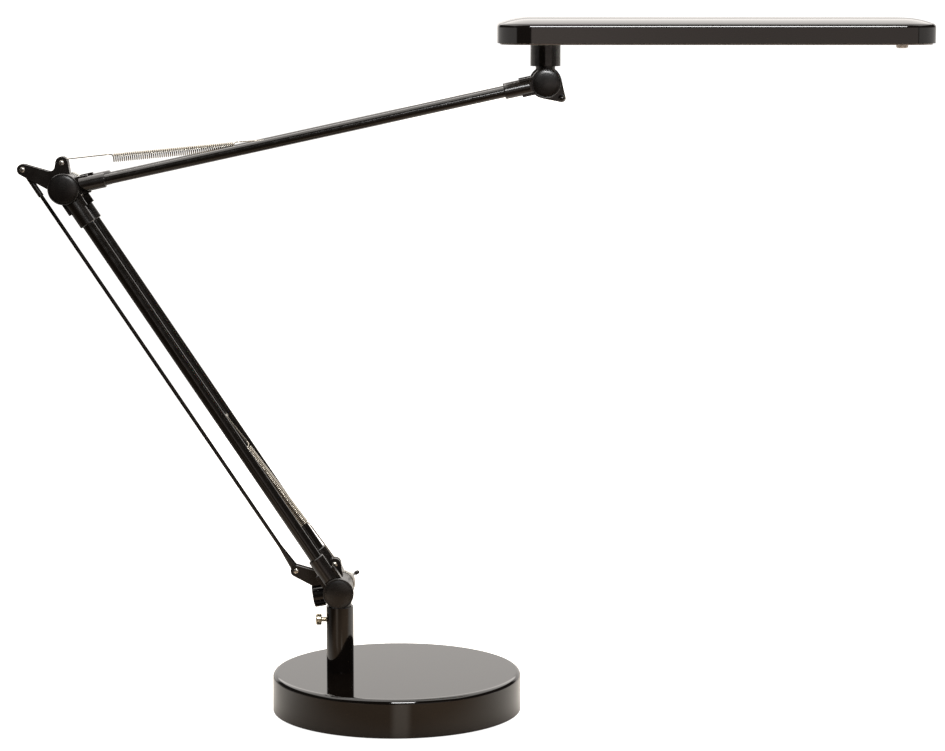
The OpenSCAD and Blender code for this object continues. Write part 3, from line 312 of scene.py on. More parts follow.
# ---------- Thumb screw ----------
# A small nickel-plated brass screw with a straight-knurled round head. It runs in the groove
# of the spindle, so the arms can turn and don't lift out.
thumb_z, thumb_tip, thumb_neck_r = 69.8 * mm, 5.4 * mm, 1.8 * mm
head_in, thumb_head_r, thumb_head_t = 14.05 * mm, 4.35 * mm, 4.4 * mm
rim_facets, knurl_land, knurl_depth = 72, 0.06 * mm, 0.28 * mm
thumb = turned("thumb_screw_head", [
    (0, thumb_tip), (thumb_neck_r - 0.5 * mm, thumb_tip),
    (thumb_neck_r, thumb_tip + 0.5 * mm), (thumb_neck_r, head_in),
    (thumb_head_r - 0.45 * mm, head_in), (thumb_head_r, head_in + 0.5 * mm),
    (thumb_head_r, head_in + thumb_head_t - 0.9 * mm),
    (3.7 * mm, head_in + thumb_head_t - 0.2 * mm), (2.6 * mm, head_in + thumb_head_t),
    (0, head_in + thumb_head_t)], (post_x, 0, thumb_z), (-1, 0, 0), steps=rim_facets,
    edge=0.12 * mm)
# Every fourth facet of the rim is pressed in for the knurl.
rim_near, rim_far = post_x - head_in + 0.05 * mm, post_x - head_in - thumb_head_t - 0.05 * mm
bpy.ops.object.mode_set(mode='EDIT')
pick(thumb, 'FACE', lambda f: abs(f.normal.x) < 0.1 and f.calc_area() > 0.8 * mm * mm and
     rim_far < f.calc_center_median().x < rim_near and
     int(round(math.atan2(f.normal.z, f.normal.y) * rim_facets / (2 * math.pi) - 0.5)) % 4 == 0)
bpy.ops.mesh.inset(thickness=knurl_land, use_individual=True)
bpy.ops.mesh.extrude_faces_move(TRANSFORM_OT_shrink_fatten={"value": -knurl_depth})
finish_shape(thumb)

# Nickel plate on brass: a warm, soft shine, worn a little thin on the knurl, where the brass
# tone comes through, and darker where grease sits in the grooves.
nickel_brass = patchy_finish("nickel_plated_brass", patch=2 * mm, detail=3,
                             tones=("d3cab6", "b8a888"), shine=(0.18, 0.34), Metallic=1)
fit_piece(thumb, nickel_brass, "thumb", "nickel", "thumb_screw")


# ---------- Pivot caps ----------
# Three low domed nylon caps press over the heads of the pivot bolts on the front side. They
# have a fine groove inside the rounded edge and a parting line round the rim.
cap_back, cap_t, cap_dome = 22.45 * mm, 2.6 * mm, 1.2 * mm
base_pivot = Vector((-43.5, 0, 94.7)) * mm
elbow_pivot = Vector((-246.06, 0, 400.74)) * mm
head_pivot = Vector((112.446, 0, 479.231)) * mm


def arc(middle, half_w, half_h, angles):
    """Points of a profile round an arc, at angles in degrees from its axis."""
    return [(middle[0] + half_w * math.sin(math.radians(a)),
             middle[1] + half_h * math.cos(math.radians(a))) for a in angles]


def domed_cap(name, pivot, cap_d):
    """A cap turned from its domed face round the rim to its flat back."""
    r = cap_d / 2
    dome_r = (r * r + cap_dome * cap_dome) / (2 * cap_dome)
    top = cap_t + cap_dome
    face = [(q, top - dome_r + math.sqrt(dome_r ** 2 - q ** 2))
            for q in [(r - 1.5 * mm) * i / 10 for i in range(11)]]
    face[-1] = (face[-1][0], face[-1][1] - 0.12 * mm)
    edge_y = face[-1][1] - 0.7 * mm
    groove = [(r - 1.35 * mm, edge_y), (r - 0.8 * mm, edge_y - 0.1 * mm),
              (r - 0.65 * mm, edge_y + 0.3 * mm)]
    rim = arc((r - 0.5 * mm, edge_y - 0.1 * mm), 0.5 * mm, 0.5 * mm, (22.5, 45, 67.5, 90))
    back = [(r, 1.05 * mm), (r - 0.18 * mm, 0.95 * mm), (r - 0.18 * mm, 0.8 * mm),
            (r, 0.7 * mm), (r, 0.15 * mm), (r - 0.15 * mm, 0), (0, 0)]
    return turned(name, face + groove + rim + back, pivot + Vector((0, -cap_back, 0)), (0, -1, 0))


# Satin nylon from a polished mould: smoother than the other mouldings, with a soft broad
# shine that varies a little over the dome, and the same deep black.
satin_nylon = patchy_finish("satin_moulded_nylon", patch=7 * mm,
                            tones=("0b0908", "110e0c"), shine=(0.24, 0.3), IOR=1.53)
for name, pivot, cap_d, body, node in (
        ("cap_base", base_pivot, 23.3 * mm, "swivel", "base_cap"),
        ("cap_elbow", elbow_pivot, 23.3 * mm, "elbow", "elbow_cap"),
        ("cap_head", head_pivot, 21.6 * mm, "tilt_bracket", "head_cap")):
    fit_piece(domed_cap(name, pivot, cap_d), satin_nylon, body, "black_plastic", node)


# ---------- Pivot bolts, washers and friction nuts ----------
# A turned steel bolt runs through each pivot. Thin washers sit between the hub and the eyes,
# and a round turned nut at the back sets the friction.
def turned_steel(name, pivot):
    """Bright turned steel: rings from the lathe tool, centred on one pivot. The real feed
    marks are about 0.15 mm apart and are drawn at 2.5 mm so that they show."""
    finish = patchy_finish(name, patch=5 * mm, detail=3, tones=("d6d3cb", "b0aca2"),
                           shine=(0.2, 0.34), span=(0, 1), Metallic=1)
    centred = add_node(finish, "Mapping", {"Location": tuple(-pivot)},
                       {"Vector": (finish.node_tree.nodes["Texture Coordinate"], "Object")})
    # A wave node draws a ring every 2 pi / 20 of its vector.
    rings = add_node(finish, "TexWave",
                     {"wave_type": 'RINGS', "rings_direction": 'Y', "Distortion": 0.3,
                      "Scale": 2 * math.pi / 20 / (2.5 * mm)}, {"Vector": (centred, "Vector")})
    marks = add_node(finish, "Bump", {"Strength": 0.25, "Distance": 0.02 * mm},
                     {"Height": (rings, "Fac")})
    steel = finish.node_tree.nodes["Principled BSDF"]
    finish.node_tree.links.new(marks.outputs["Normal"], steel.inputs["Normal"])
    return finish


nut_r, nut_t, nut_bore = 10.4 * mm, 3.2 * mm, 3.05 * mm
nut_profile = [(nut_bore, 0), (nut_r - 0.3 * mm, 0), (nut_r, 0.3 * mm),
               (nut_r, nut_t - 0.7 * mm), (nut_r - 0.7 * mm, nut_t), (7.4 * mm, nut_t),
               (7 * mm, nut_t - 0.35 * mm), (4.6 * mm, nut_t - 0.35 * mm),
               (4.2 * mm, nut_t), (nut_bore, nut_t), (nut_bore, 0)]
steel_at = {}
for end, pivot, body, nut_body, nut in (
        ("base", base_pivot, "swivel", "clamp", "clamp_nut"),
        ("elbow", elbow_pivot, "elbow", "elbow", "elbow_nut"),
        ("head", head_pivot, "tilt_bracket", "tilt_bracket", "head_nut")):
    steel_at[end] = turned_steel("turned_steel_" + end, pivot)
    dress(steel_at[end], end + "_axle", end + "_washers")
    piece = turned("friction_nut_" + end, nut_profile, pivot + Vector((0, cap_back, 0)),
                   (0, 1, 0), edge=0.12 * mm)
    fit_piece(piece, steel_at[end], nut_body, "bright_steel", nut)


# ---------- Clamping lever ----------
# A short steel pin screwed into the base nut's rim turns it by hand. Its tip is a small
# moulded ball-ended cap.
def rising(degrees):
    """The way that rises by an angle from the lamp's right."""
    return Vector((math.cos(math.radians(degrees)), 0, math.sin(math.radians(degrees))))


lever_way, lever_y, tip_out = rising(29), 24.05 * mm, 12 * mm
tip_r, tip_hole_r, tip_l = 1.6 * mm, 0.95 * mm, 2.4 * mm
dress(zinc_plate, "clamp_lever")
tip = turned("clamp_lever_knob", arc((0, tip_l), tip_r, tip_r, range(0, 91, 15)) + [
    (tip_r, 0.5 * mm), (tip_r - 0.2 * mm, 0), (tip_hole_r, 0), (tip_hole_r, 2 * mm), (0, 2 * mm)],
    base_pivot + Vector((0, lever_y, 0)) + lever_way * tip_out, lever_way, steps=32)
fit_piece(tip, moulded_nylon, "clamp", "black_plastic", "clamp_lever_tip")


# ---------- Base, elbow and head brackets ----------
# Zinc die castings with rounded edges, powder coated. Hub, link ear and spring ear are one
# piece; the head's bracket has its tang on top and a small ear below.
def add_object(name, data):
    """Puts a mesh, a line, a light or a camera in the scene."""
    thing = bpy.data.objects.new(name, data)
    bpy.context.scene.collection.objects.link(thing)
    return thing


def softened(name, node, edge):
    """A copy of a CAD node, merged, with its edges rounded as the real piece's are."""
    piece = add_object(name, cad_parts[node].data.copy())
    alone(piece)
    bpy.ops.mesh.customdata_custom_splitnormals_clear()
    bpy.ops.object.mode_set(mode='EDIT')
    bpy.ops.mesh.select_all(action='SELECT')
    bpy.ops.mesh.remove_doubles(threshold=0.002 * mm)
    bpy.ops.mesh.mark_sharp(clear=True)
    bpy.ops.mesh.dissolve_limited(angle_limit=math.radians(1))
    finish_shape(piece, edge)
    return piece


# Satin powder coat: a soft black sheen over a very slight pebble of about 0.7 mm, thinner
# and a touch greyer in patches.
powder_coat = patchy_finish(
    "satin_powder_coat", patch=12 * mm, tones=("0d0a08", "15110e"),
    shine=(0.22, 0.32), grain=(0.7 * mm, 1, 0.2, 0.02 * mm), IOR=1.52)
for name, node, body in (("bracket_base", "base_bracket", "swivel"),
                         ("bracket_elbow", "elbow_bracket", "elbow"),
                         ("bracket_head", "head_bracket", "tilt_bracket")):
    fit_piece(softened(name, node, 0.35 * mm), powder_coat, body, "black_metal", node)


# ---------- Friction cups ----------
# Bright pressed-steel cups over the rear eyes, which keep the nut's pressure even on the
# nylon. Each is a thin disc with a turned-down rim, tumbled to a soft shine; the rearmost
# eye at the elbow has a ring.
pressed_steel = patchy_finish("bright_pressed_steel", patch=2 * mm, detail=3,
                              tones=("f0efeb", "dddbd6"), shine=(0.42, 0.6), span=(0, 1),
                              Metallic=1)
cup_r, eye_r, cup_bore_r = 11.22 * mm, 11.12 * mm, 3.2 * mm
sheet_t, cup_bend = 0.03 * mm, 0.25 * mm
for name, pivot, front, back, body, closed in (
        ("friction_cup_base", base_pivot, 13.41 * mm, 22.3 * mm, "lower_arm", True),
        ("friction_cup_elbow", elbow_pivot, 13.41 * mm, 17.8 * mm, "upper_arm", True),
        ("friction_ring_elbow", elbow_pivot, 18.0 * mm, 22.3 * mm, "lower_arm", False)):
    rim = [(cup_r - cup_bend, front), (cup_r, front + cup_bend), (cup_r, back), (eye_r, back)]
    if closed:
        section = [(cup_bore_r, front + sheet_t), (cup_bore_r, front)] + rim
        section += [(eye_r, front + sheet_t), (cup_bore_r, front + sheet_t)]
    else:
        section = rim + [(eye_r, front), rim[0]]
    fit_piece(turned(name, section, pivot, (0, 1, 0)), pressed_steel, body, "bright_steel")


# ---------- Ear rivets ----------
# Plain steel rivets with low round heads close the fork ears: one holds the link rod's eye,
# the other carries the spring's hook.
link_ear, spring_ear = Vector((-33, 0, 13.4)) * mm, Vector((-3.6, 0, 18.5)) * mm
rivet_r, rivet_head_r, ear_half = 1.5 * mm, 2 * mm, 4.3 * mm
head_rim, head_rise = 0.25 * mm, 0.65 * mm
dome = arc((0, ear_half + head_rim), rivet_head_r, head_rise, range(0, 91, 15))
dome += [(rivet_head_r, ear_half), (rivet_r, ear_half)]
for end, pivot, body in (("base", base_pivot, "swivel"), ("elbow", elbow_pivot, "elbow")):
    rivets = [turned("rivet", dome + [(q, -y) for q, y in reversed(dome)], pivot + ear,
                     (0, -1, 0), steps=40) for ear in (link_ear, spring_ear)]
    alone(rivets[0])
    rivets[1].select_set(True)
    bpy.ops.object.join()
    rivets[0].name = "ear_rivets_" + end
    fit_piece(rivets[0], steel_at[end], body, "bright_steel", end + "_rivets")


# ---------- Tension knob ----------
# A small ribbed nylon knob on a sloping plated screw in the base bracket. Turning it
# squeezes the hub and sets how firmly the lower arm stands.
knob_r, rib_root_r, knob_l, knob_stand = 8.75 * mm, 7.65 * mm, 8.9 * mm, 11.6 * mm
knob_slope, knob_drop, dish_rim, dish_depth = 9.5, 3.2 * mm, 2.1 * mm, 0.9 * mm
facets, ribs, rib_l = 84, 14, 0.93
knob = begin("cylinder", "tension_knob_ribbed", vertices=facets, radius=rib_root_r, depth=knob_l)
# Three facets in every six are drawn out to a rib, a little shorter than the core.
pick(knob, 'FACE', lambda f: abs(f.normal.z) < 0.1 and
     int(round(math.degrees(math.atan2(f.normal.y, f.normal.x)) * facets / 360 - 0.5))
     % (facets // ribs) < 3)
draw_out(0, 0, 0)
bpy.ops.transform.resize(value=(knob_r / rib_root_r, knob_r / rib_root_r, rib_l),
                         center_override=(0, 0, 0))
# The outer end is dished.
pick(knob, 'FACE', lambda f: f.normal.z > 0.99 and f.calc_area() > rib_root_r ** 2)
bpy.ops.mesh.inset(thickness=dish_rim)
draw_out(0, 0, -dish_depth)
bpy.ops.object.mode_set(mode='OBJECT')
knob_way = -rising(knob_slope)
turn = Vector((0, 0, 1)).rotation_difference(knob_way).to_matrix().to_4x4()
knob.matrix_world = Matrix.Translation(base_pivot + Vector((0, 0, -knob_drop)) +
                                       knob_way * (knob_stand + knob_l / 2)) @ turn
finish_shape(knob, edge=0.3 * mm, steps=3)
# The knob comes from the same nylon in a mirror-polished mould, so its ribs flash.
gloss_nylon = patchy_finish("gloss_moulded_nylon", patch=7 * mm,
                            tones=("0b0908", "110e0c"), shine=(0.08, 0.14), IOR=1.53)
fit_piece(knob, gloss_nylon, "knob", "black_plastic", "tension_knob")
dress(zinc_plate, "tension_screw")


# ---------- Arms ----------
# Each arm is a pair of thin steel tubes pressed into moulded knuckles. The tubes are stove
# enamelled in a semi-gloss black; the knuckles are glass-filled nylon with rounded edges.
# The enamel keeps a fine orange peel and drifts in shine every few millimetres.
tube_enamel = patchy_finish(
    "semi_gloss_tube_enamel", patch=4 * mm, detail=3, tones=("0a0806", "120e0b"),
    shine=(0.14, 0.22), grain=(1.5 * mm, 2, 0.12, 0.01 * mm), IOR=1.5)
dress(tube_enamel, "lower_tube_front", "lower_tube_rear", "upper_tube_front",
      "upper_tube_rear", "link_rod")
for name, node, body in (("knuckles_base", "lower_knuckles", "lower_arm"),
                         ("knuckles_elbow_lower", "lower_elbow_knuckles", "lower_arm"),
                         ("knuckles_elbow_upper", "upper_elbow_knuckles", "upper_arm"),
                         ("knuckles_head", "upper_head_knuckles", "upper_arm")):
    fit_piece(softened(name, node, 0.18 * mm), moulded_nylon, body, "black_plastic", node)


# ---------- Link rod ends ----------
# Moulded nylon eyes with a long sleeve, pushed on both ends of the link rod that keeps the
# elbow bracket upright. The lower sleeve tapers from a wide root at its eye to a mouth as
# thin as the rod.
sleeve_root, root_flare, sleeve_mouth, mouth_taper = 3.4 * mm, 1.45, 24 * mm, 0.62
ends = softened("link_rod_eyes", "link_rod_ends", 0)
rod_way, rod_from = (elbow_pivot - base_pivot).normalized(), base_pivot + link_ear


def along_rod(v):
    """How far a vertex lies from the lower eye's middle, along the rod."""
    return rod_way.dot(v.co - rod_from)


bpy.ops.object.mode_set(mode='EDIT')
pick(ends, 'VERT', lambda v: abs(along_rod(v) - sleeve_root) < 1.1 * mm and
     (v.co - rod_from - rod_way * along_rod(v)).length < 2.3 * mm)
bpy.ops.transform.resize(value=(root_flare, 1, root_flare),
                         center_override=tuple(rod_from + rod_way * sleeve_root))
pick(ends, 'VERT', lambda v: abs(along_rod(v) - sleeve_mouth) < 4 * mm)
bpy.ops.transform.resize(value=(mouth_taper, mouth_taper, mouth_taper),
                         center_override=tuple(rod_from + rod_way * sleeve_mouth))
finish_shape(ends, 0.2 * mm)
fit_piece(ends, moulded_nylon, "rod", "black_plastic", "link_rod_ends")


# ---------- Springs ----------
# Extension springs of 1 mm drawn steel wire, stretched a little open, balance each arm. One
# end hooks round the rivet of a bracket's ear, the other round a grooved pin between the
# tubes.
wire_r, coil_r, coil_turns, turn_steps = 0.5 * mm, 2.9 * mm, 58, 20
hook_ear_l, hook_pin_l, ear_loop_r, pin_loop_r = 38 * mm, 28 * mm, 2.4 * mm, 2.1 * mm
pin_at, lower_rise, upper_rise = 157 * mm, 123.5, 12.35


def coiled_wire(name, start, run, side):
    """One length of wire from the ear's hook through the coil to the pin's hook."""
    span = run.length
    along = run / span
    across = Vector((-along.z, 0, along.x)) * side
    coil_end = span - hook_pin_l
    # Each hook goes 210 degrees round its rivet or pin, and a straight length leads off it.
    path = [(ear_loop_r * math.cos(a), 0, ear_loop_r * math.sin(a))
            for a in [math.radians(-60 - 7 * i) for i in range(31)]]
    path += [(2 * mm, 0, ear_loop_r), (hook_ear_l - 8 * mm, 0, coil_r - 0.12 * mm),
             (hook_ear_l - 4.5 * mm, 0, coil_r - 0.04 * mm)]
    pitch = (span - hook_ear_l - hook_pin_l) / coil_turns
    # The first and last quarter turns lead out of the coil into the straight wire.
    for i in range(coil_turns * turn_steps + 1):
        turns = i / turn_steps
        lead = 2 * mm * max(0, 1 - 4 * turns) ** 2
        tail = 2 * mm * max(0, 1 - 4 * (coil_turns - turns)) ** 2
        a = 2 * math.pi * turns
        path.append((hook_ear_l + pitch * turns - lead + tail,
                     coil_r * math.sin(a), coil_r * math.cos(a)))
    path += [(coil_end + 4.5 * mm, 0, coil_r - 0.04 * mm),
             (coil_end + 8 * mm, 0, coil_r - 0.12 * mm), (span - 2 * mm, 0, pin_loop_r)]
    path += [(span + pin_loop_r * math.cos(a), 0, pin_loop_r * math.sin(a))
             for a in [math.radians(90 - 7 * i) for i in range(31)]]
    line = bpy.data.curves.new(name, 'CURVE')
    line.dimensions, line.bevel_depth, line.bevel_resolution = '3D', wire_r, 2
    line.use_fill_caps = True
    spline = line.splines.new('POLY')
    spline.points.add(len(path) - 1)
    for point, (a, d, c) in zip(spline.points, path):
        point.co = (*(start + along * a + Vector((0, d, 0)) + across * c), 1)
    alone(add_object(name, line))
    bpy.ops.object.convert(target='MESH')
    wire = bpy.context.object
    wire.name = name
    bpy.ops.object.shade_smooth_by_angle(angle=math.radians(60))
    return wire


# Drawn spring steel: bright and slightly oily, with duller patches every few millimetres.
spring_steel = patchy_finish("drawn_spring_steel", patch=3 * mm, detail=3,
                             tones=("c2bcb0", "8c877e"), shine=(0.16, 0.36), span=(0, 1),
                             Metallic=1)
lower_run, upper_run = [pin_at * rising(rise) - spring_ear for rise in (lower_rise, upper_rise)]
lower_spring = coiled_wire("spring_lower", base_pivot + spring_ear, lower_run, -1)
fit_piece(lower_spring, spring_steel, "lower_coil", "spring_steel", "lower_spring")
# The upper spring stretches as its arm moves. Here its wire is baked where it is drawn and is not
# attached to a body.
upper_from = elbow_pivot + spring_ear
upper_spring = coiled_wire("spring_upper", upper_from, upper_run, 1)
upper_spring.data.materials.append(spring_steel)
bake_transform(upper_spring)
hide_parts("upper_spring", "upper_spring_hook")
dress(steel_at["base"], "lower_spring_pin")
dress(steel_at["elbow"], "upper_spring_pin")


# ---------- Head bracket's ear screw ----------
# A steel screw with a turned ball for its head stands in the head bracket's ear, locked by
# a nut behind it. Both are powder coated black with the bracket.
ball_r, ball_out, ball_seat = 2.65 * mm, 5.3 * mm, 2.3 * mm
shank_r, ear_nut_r, ear_back = 1.25 * mm, 2.4 * mm, -3 * mm
seat = math.degrees(math.asin(math.sqrt(ball_r ** 2 - ball_seat ** 2) / ball_r))
ball = arc((0, ball_out), ball_r, ball_r, [(180 - seat) * i / 14 for i in range(15)])
ear_screw = turned("ball_headed_screw", ball + [
    (shank_r, 3 * mm), (shank_r, ear_back), (ear_nut_r, ear_back),
    (ear_nut_r, ear_back - 1.6 * mm), (ear_nut_r - 0.2 * mm, ear_back - 1.8 * mm),
    (0, ear_back - 1.8 * mm)], head_pivot + Vector((12.3, 0, -11.8)) * mm, (0, -1, 0), steps=40)
fit_piece(ear_screw, powder_coat, "tilt_bracket", "black_metal", "head_ear_screw")


# ---------- Neck collar ----------
# A turned sleeve under the head, enamelled as the tubes are, with its edges broken. It
# covers the spindle that the head turns on, which a plated nut holds inside the head.
collar_r, collar_bore_r = 11.3 * mm, 4.55 * mm
collar_low, collar_top = 491.331 * mm, 507.931 * mm
collar = turned("neck_sleeve", [
    (collar_bore_r, collar_low), (collar_r, collar_low), (collar_r, collar_top),
    (collar_bore_r, collar_top), (collar_bore_r, collar_low)],
    (head_pivot.x, 0, 0), (0, 0, 1), edge=0.3 * mm)
fit_piece(collar, tube_enamel, "head", "black_metal", "neck_collar")
dress(zinc_plate, "neck_nut")


# ---------- Head's top cover ----------
# One injection moulding in black ABS with a high polish: upright sides, a small edge radius
# and a low crown that swells over a band 24 mm wide and is flat in the middle.
head_l, head_w, corner_r, head_wall = 321.6 * mm, 120 * mm, 25 * mm, 2 * mm
side_low, side_h, crown_rise, edge_r = 508.931 * mm, 13.7 * mm, 5 * mm, 3.2 * mm
neck_in, crown_in, head_roof = 36.25 * mm, 24.3 * mm, 0.6 * mm
head_mid = head_pivot.x + head_l / 2 - neck_in
# The crown's slope where the edge radius runs out into it.
edge_slope = math.atan(2 * crown_rise / corner_r * (1 - 0.6 * edge_r / corner_r))
edge_in = edge_r * (1 - math.sin(edge_slope))


def crown_z(depth):
    """Height of the crown over its own edge, at a depth inwards from the side."""
    return crown_rise * (1 - (1 - depth / corner_r) ** 2)


edge_low = crown_z(edge_in) - edge_r * math.cos(edge_slope)
upright = side_h + edge_low
top = begin("cube", "head_cover", size=1, scale=(head_l, head_w, upright),
            location=(head_mid, 0, side_low + upright / 2))
bpy.ops.object.mode_set(mode='OBJECT')
bpy.ops.object.transform_apply(location=True, rotation=True, scale=True)
bpy.ops.object.mode_set(mode='EDIT')
pick(top, 'EDGE', lambda e: abs(e.verts[0].co.z - e.verts[1].co.z) > upright / 2)
bpy.ops.mesh.bevel(offset=corner_r, segments=20)
# The crown: the top face is inset and raised step by step, round the edge and then along a
# parabola that flattens towards the middle.
section = [(edge_r * (1 - math.cos(a)), edge_low + edge_r * math.sin(a))
           for a in [(math.pi / 2 - edge_slope) * i / 8 for i in range(1, 9)]]
section += [(depth, crown_z(depth))
            for depth in [edge_in + (crown_in - edge_in) * i / 12 for i in range(1, 13)]]
before = (0, edge_low)
for now in section:
    pick(top, 'FACE', lambda f: f.normal.z > 0.9 and f.calc_area() > head_l * head_w / 4 and
         f.calc_center_median().z > side_low + side_h / 2)
    bpy.ops.mesh.inset(thickness=now[0] - before[0])
    bpy.ops.transform.translate(value=(0, 0, now[1] - before[1]))
    before = now
pick(top, 'FACE', lambda f: f.normal.z < -0.99)
bpy.ops.mesh.inset(thickness=head_wall)
draw_out(0, 0, upright - head_roof)
finish_shape(top, angle=40)

# Polished ABS: a smooth gloss with a very slight waviness about 14 mm long, where the
# moulding shrank over its ribs, and fine dust-polishing marks in the shine.
polished_abs = patchy_finish(
    "polished_black_abs", patch=30 * mm, detail=4, tones=("0c0908", "14100d"),
    shine=(0.05, 0.09), grain=(14 * mm, 0, 0.08, 0.1 * mm), IOR=1.53)
fit_piece(top, polished_abs, "head", "head_black", "top_cover")


# ---------- Head's bottom frame ----------
# A light grey ABS moulding that closes the head from below, a millimetre proud of the cover
# all round, with a large window for the light and four small screws. Its skin has the fine
# even grain of a textured mould, and faint clouds some 20 mm wide.
grey_abs = patchy_finish(
    "light_grey_abs", patch=20 * mm, tones=("bdbab6", "b3b0ac"),
    grain=(0.7 * mm, 2, 0.25, 0.03 * mm), IOR=1.53, Roughness=0.42)
fit_piece(softened("head_bottom_frame", "bottom_frame", 0.3 * mm), grey_abs, "head",
          "light_grey", "bottom_frame")
dress(zinc_plate, "frame_screws")


# ---------- Diffuser ----------
# An opal acrylic sheet behind the window. Its outer face is moulded with a close pattern of
# tiny lenses, about 1.5 mm apart, that scatter the light.
opal_acrylic, laid = new_finish("opal_acrylic_sheet")
lenses = add_node(opal_acrylic, "TexVoronoi", {"Scale": 1 / (1.5 * mm), "Randomness": 0},
                  {"Vector": laid})
milky = add_node(opal_acrylic, "Mix",
                 {"data_type": 'RGBA', 6: linear("f6f5f0"), 7: linear("e6e5df")},
                 {0: (lenses, "Distance")})
lens_bump = add_node(opal_acrylic, "Bump",
                     {"Strength": 0.5, "Distance": 0.15 * mm, "invert": True},
                     {"Height": (lenses, "Distance")})
opal_skin = add_node(opal_acrylic, "BsdfPrincipled",
                     {"IOR": 1.49, "Roughness": 0.3, "Subsurface Weight": 0.4,
                      "Subsurface Scale": 2 * mm},
                     {"Base Color": (milky, 2), "Normal": (lens_bump, 0)})
add_node(opal_acrylic, "OutputMaterial", {}, {"Surface": (opal_skin, 0)})
dress(opal_acrylic, "diffuser")


# ---------- Light guide and heat plate ----------
# Behind the diffuser lie a clear acrylic plate, printed with white dots every 2 mm that throw
# the LEDs' light down, and a brushed aluminium sheet that spreads their heat.
clear_acrylic, laid = new_finish("dotted_clear_acrylic")
dots = add_node(clear_acrylic, "TexVoronoi", {"Scale": 1 / (2 * mm), "Randomness": 0},
                {"Vector": laid})
printed = add_node(clear_acrylic, "Math", {"operation": 'LESS_THAN', 1: 0.25},
                   {0: (dots, "Distance")})
see_through = add_node(clear_acrylic, "MapRange", {"To Min": 0.95, "To Max": 0.1},
                       {"Value": (printed, 0)})
guide_tone = add_node(clear_acrylic, "Mix",
                      {"data_type": 'RGBA', 6: linear("eaf2f4"), 7: linear("fbfbf8")},
                      {0: (printed, 0)})
guide_skin = add_node(clear_acrylic, "BsdfPrincipled", {"IOR": 1.49, "Roughness": 0.05},
                      {"Base Color": (guide_tone, 2), "Transmission Weight": (see_through, 0)})
add_node(clear_acrylic, "OutputMaterial", {}, {"Surface": (guide_skin, 0)})
dress(clear_acrylic, "light_guide")

# The brush lines run along the sheet, each about 20 mm long. They are some 0.1 mm across and
# drawn at 0.3 mm so that they show.
brushed_alu = patchy_finish("brushed_aluminium_sheet", patch=0.3 * mm,
                            tones=("c9cbcd", "a9abae"), shine=(0.25, 0.5), span=(0, 1),
                            stretch=(1 / 60, 1, 1), Metallic=1)
dress(brushed_alu, "heat_plate")


# ---------- LED strips and driver board ----------
# The LEDs stand on two white-masked strips and shine into the long edges of the guide. The
# driver board at the far end has a green mask over copper tracks, with dark parts on top.
led_face_y, board_parts_z = 44.99 * mm, 516.9 * mm
led_strip, laid = new_finish("white_masked_led_strip")
axes = add_node(led_strip, "SeparateXYZ", {}, {"Vector": laid})
across = add_node(led_strip, "Math", {"operation": 'ABSOLUTE'}, {0: (axes, "Y")})
# The LEDs' yellow phosphor faces stand 0.4 mm in front of the board.
on_board = add_node(led_strip, "Math", {"operation": 'GREATER_THAN', 1: led_face_y},
                    {0: (across, 0)})
strip_tone = add_node(led_strip, "Mix",
                      {"data_type": 'RGBA', 6: linear("e8c94a"), 7: linear("ecebe4")},
                      {0: (on_board, 0)})
speck = add_node(led_strip, "TexNoise", {"Scale": 1 / (0.5 * mm)}, {"Vector": laid})
strip_bump = add_node(led_strip, "Bump", {"Strength": 0.2, "Distance": 0.02 * mm},
                      {"Height": (speck, "Fac")})
strip_skin = add_node(led_strip, "BsdfPrincipled", {"Roughness": 0.35},
                      {"Base Color": (strip_tone, 2), "Normal": (strip_bump, 0)})
add_node(led_strip, "OutputMaterial", {}, {"Surface": (strip_skin, 0)})
dress(led_strip, "led_strips")

green_board, laid = new_finish("green_masked_board")
tracks = add_node(green_board, "TexBrick",
                  {"Scale": 1 / (5 * mm), "Mortar Size": 0.06, "Color1": linear("1d5f35"),
                   "Color2": linear("226a3b"), "Mortar": linear("3f8a52")}, {"Vector": laid})
height = add_node(green_board, "SeparateXYZ", {}, {"Vector": laid})
above = add_node(green_board, "Math", {"operation": 'GREATER_THAN', 1: board_parts_z},
                 {0: (height, "Z")})
board_tone = add_node(green_board, "Mix", {"data_type": 'RGBA', 7: linear("1b1b1d")},
                      {0: (above, 0), 6: (tracks, "Color")})
board_skin = add_node(green_board, "BsdfPrincipled", {"Roughness": 0.3},
                      {"Base Color": (board_tone, 2)})
add_node(green_board, "OutputMaterial", {}, {"Surface": (board_skin, 0)})
dress(green_board, "driver_board")


# ---------- Switch button ----------
# A round push button, moulded in grey ABS with a well rounded edge and a shallow dish for
# the finger, stands out under the far end of the head. The switch's body is black nylon.
button_x, button_low, button_r, button_edge = 378.496 * mm, 504.531 * mm, 4.5 * mm, 1.5 * mm
foot_low, foot_top, foot_r, dish_r = 509.48 * mm, 510.48 * mm, 6.1 * mm, 3 * mm
dish = [(0, button_low + 0.35 * mm), (1.2 * mm, button_low + 0.3 * mm),
        (2.2 * mm, button_low + 0.12 * mm), (dish_r, button_low)]
rim = arc((dish_r, button_low + button_edge), button_edge, -button_edge, range(15, 91, 15))
push = turned("push_button", dish + rim + [(button_r, foot_low), (foot_r, foot_low),
                                           (foot_r, foot_top), (0, foot_top)],
              (button_x, 0, 0), (0, 0, 1), steps=64)
# Its finish is satin, rubbed glossier in places by the finger.
satin_button = patchy_finish("satin_grey_button_abs", patch=3 * mm, detail=3,
                             tones=("c6c1bc", "d4d0cc"), shine=(0.22, 0.4), span=(0, 1),
                             IOR=1.53)
fit_piece(push, satin_button, "button", "button_grey", "switch_button")
dress(moulded_nylon, "switch_body")


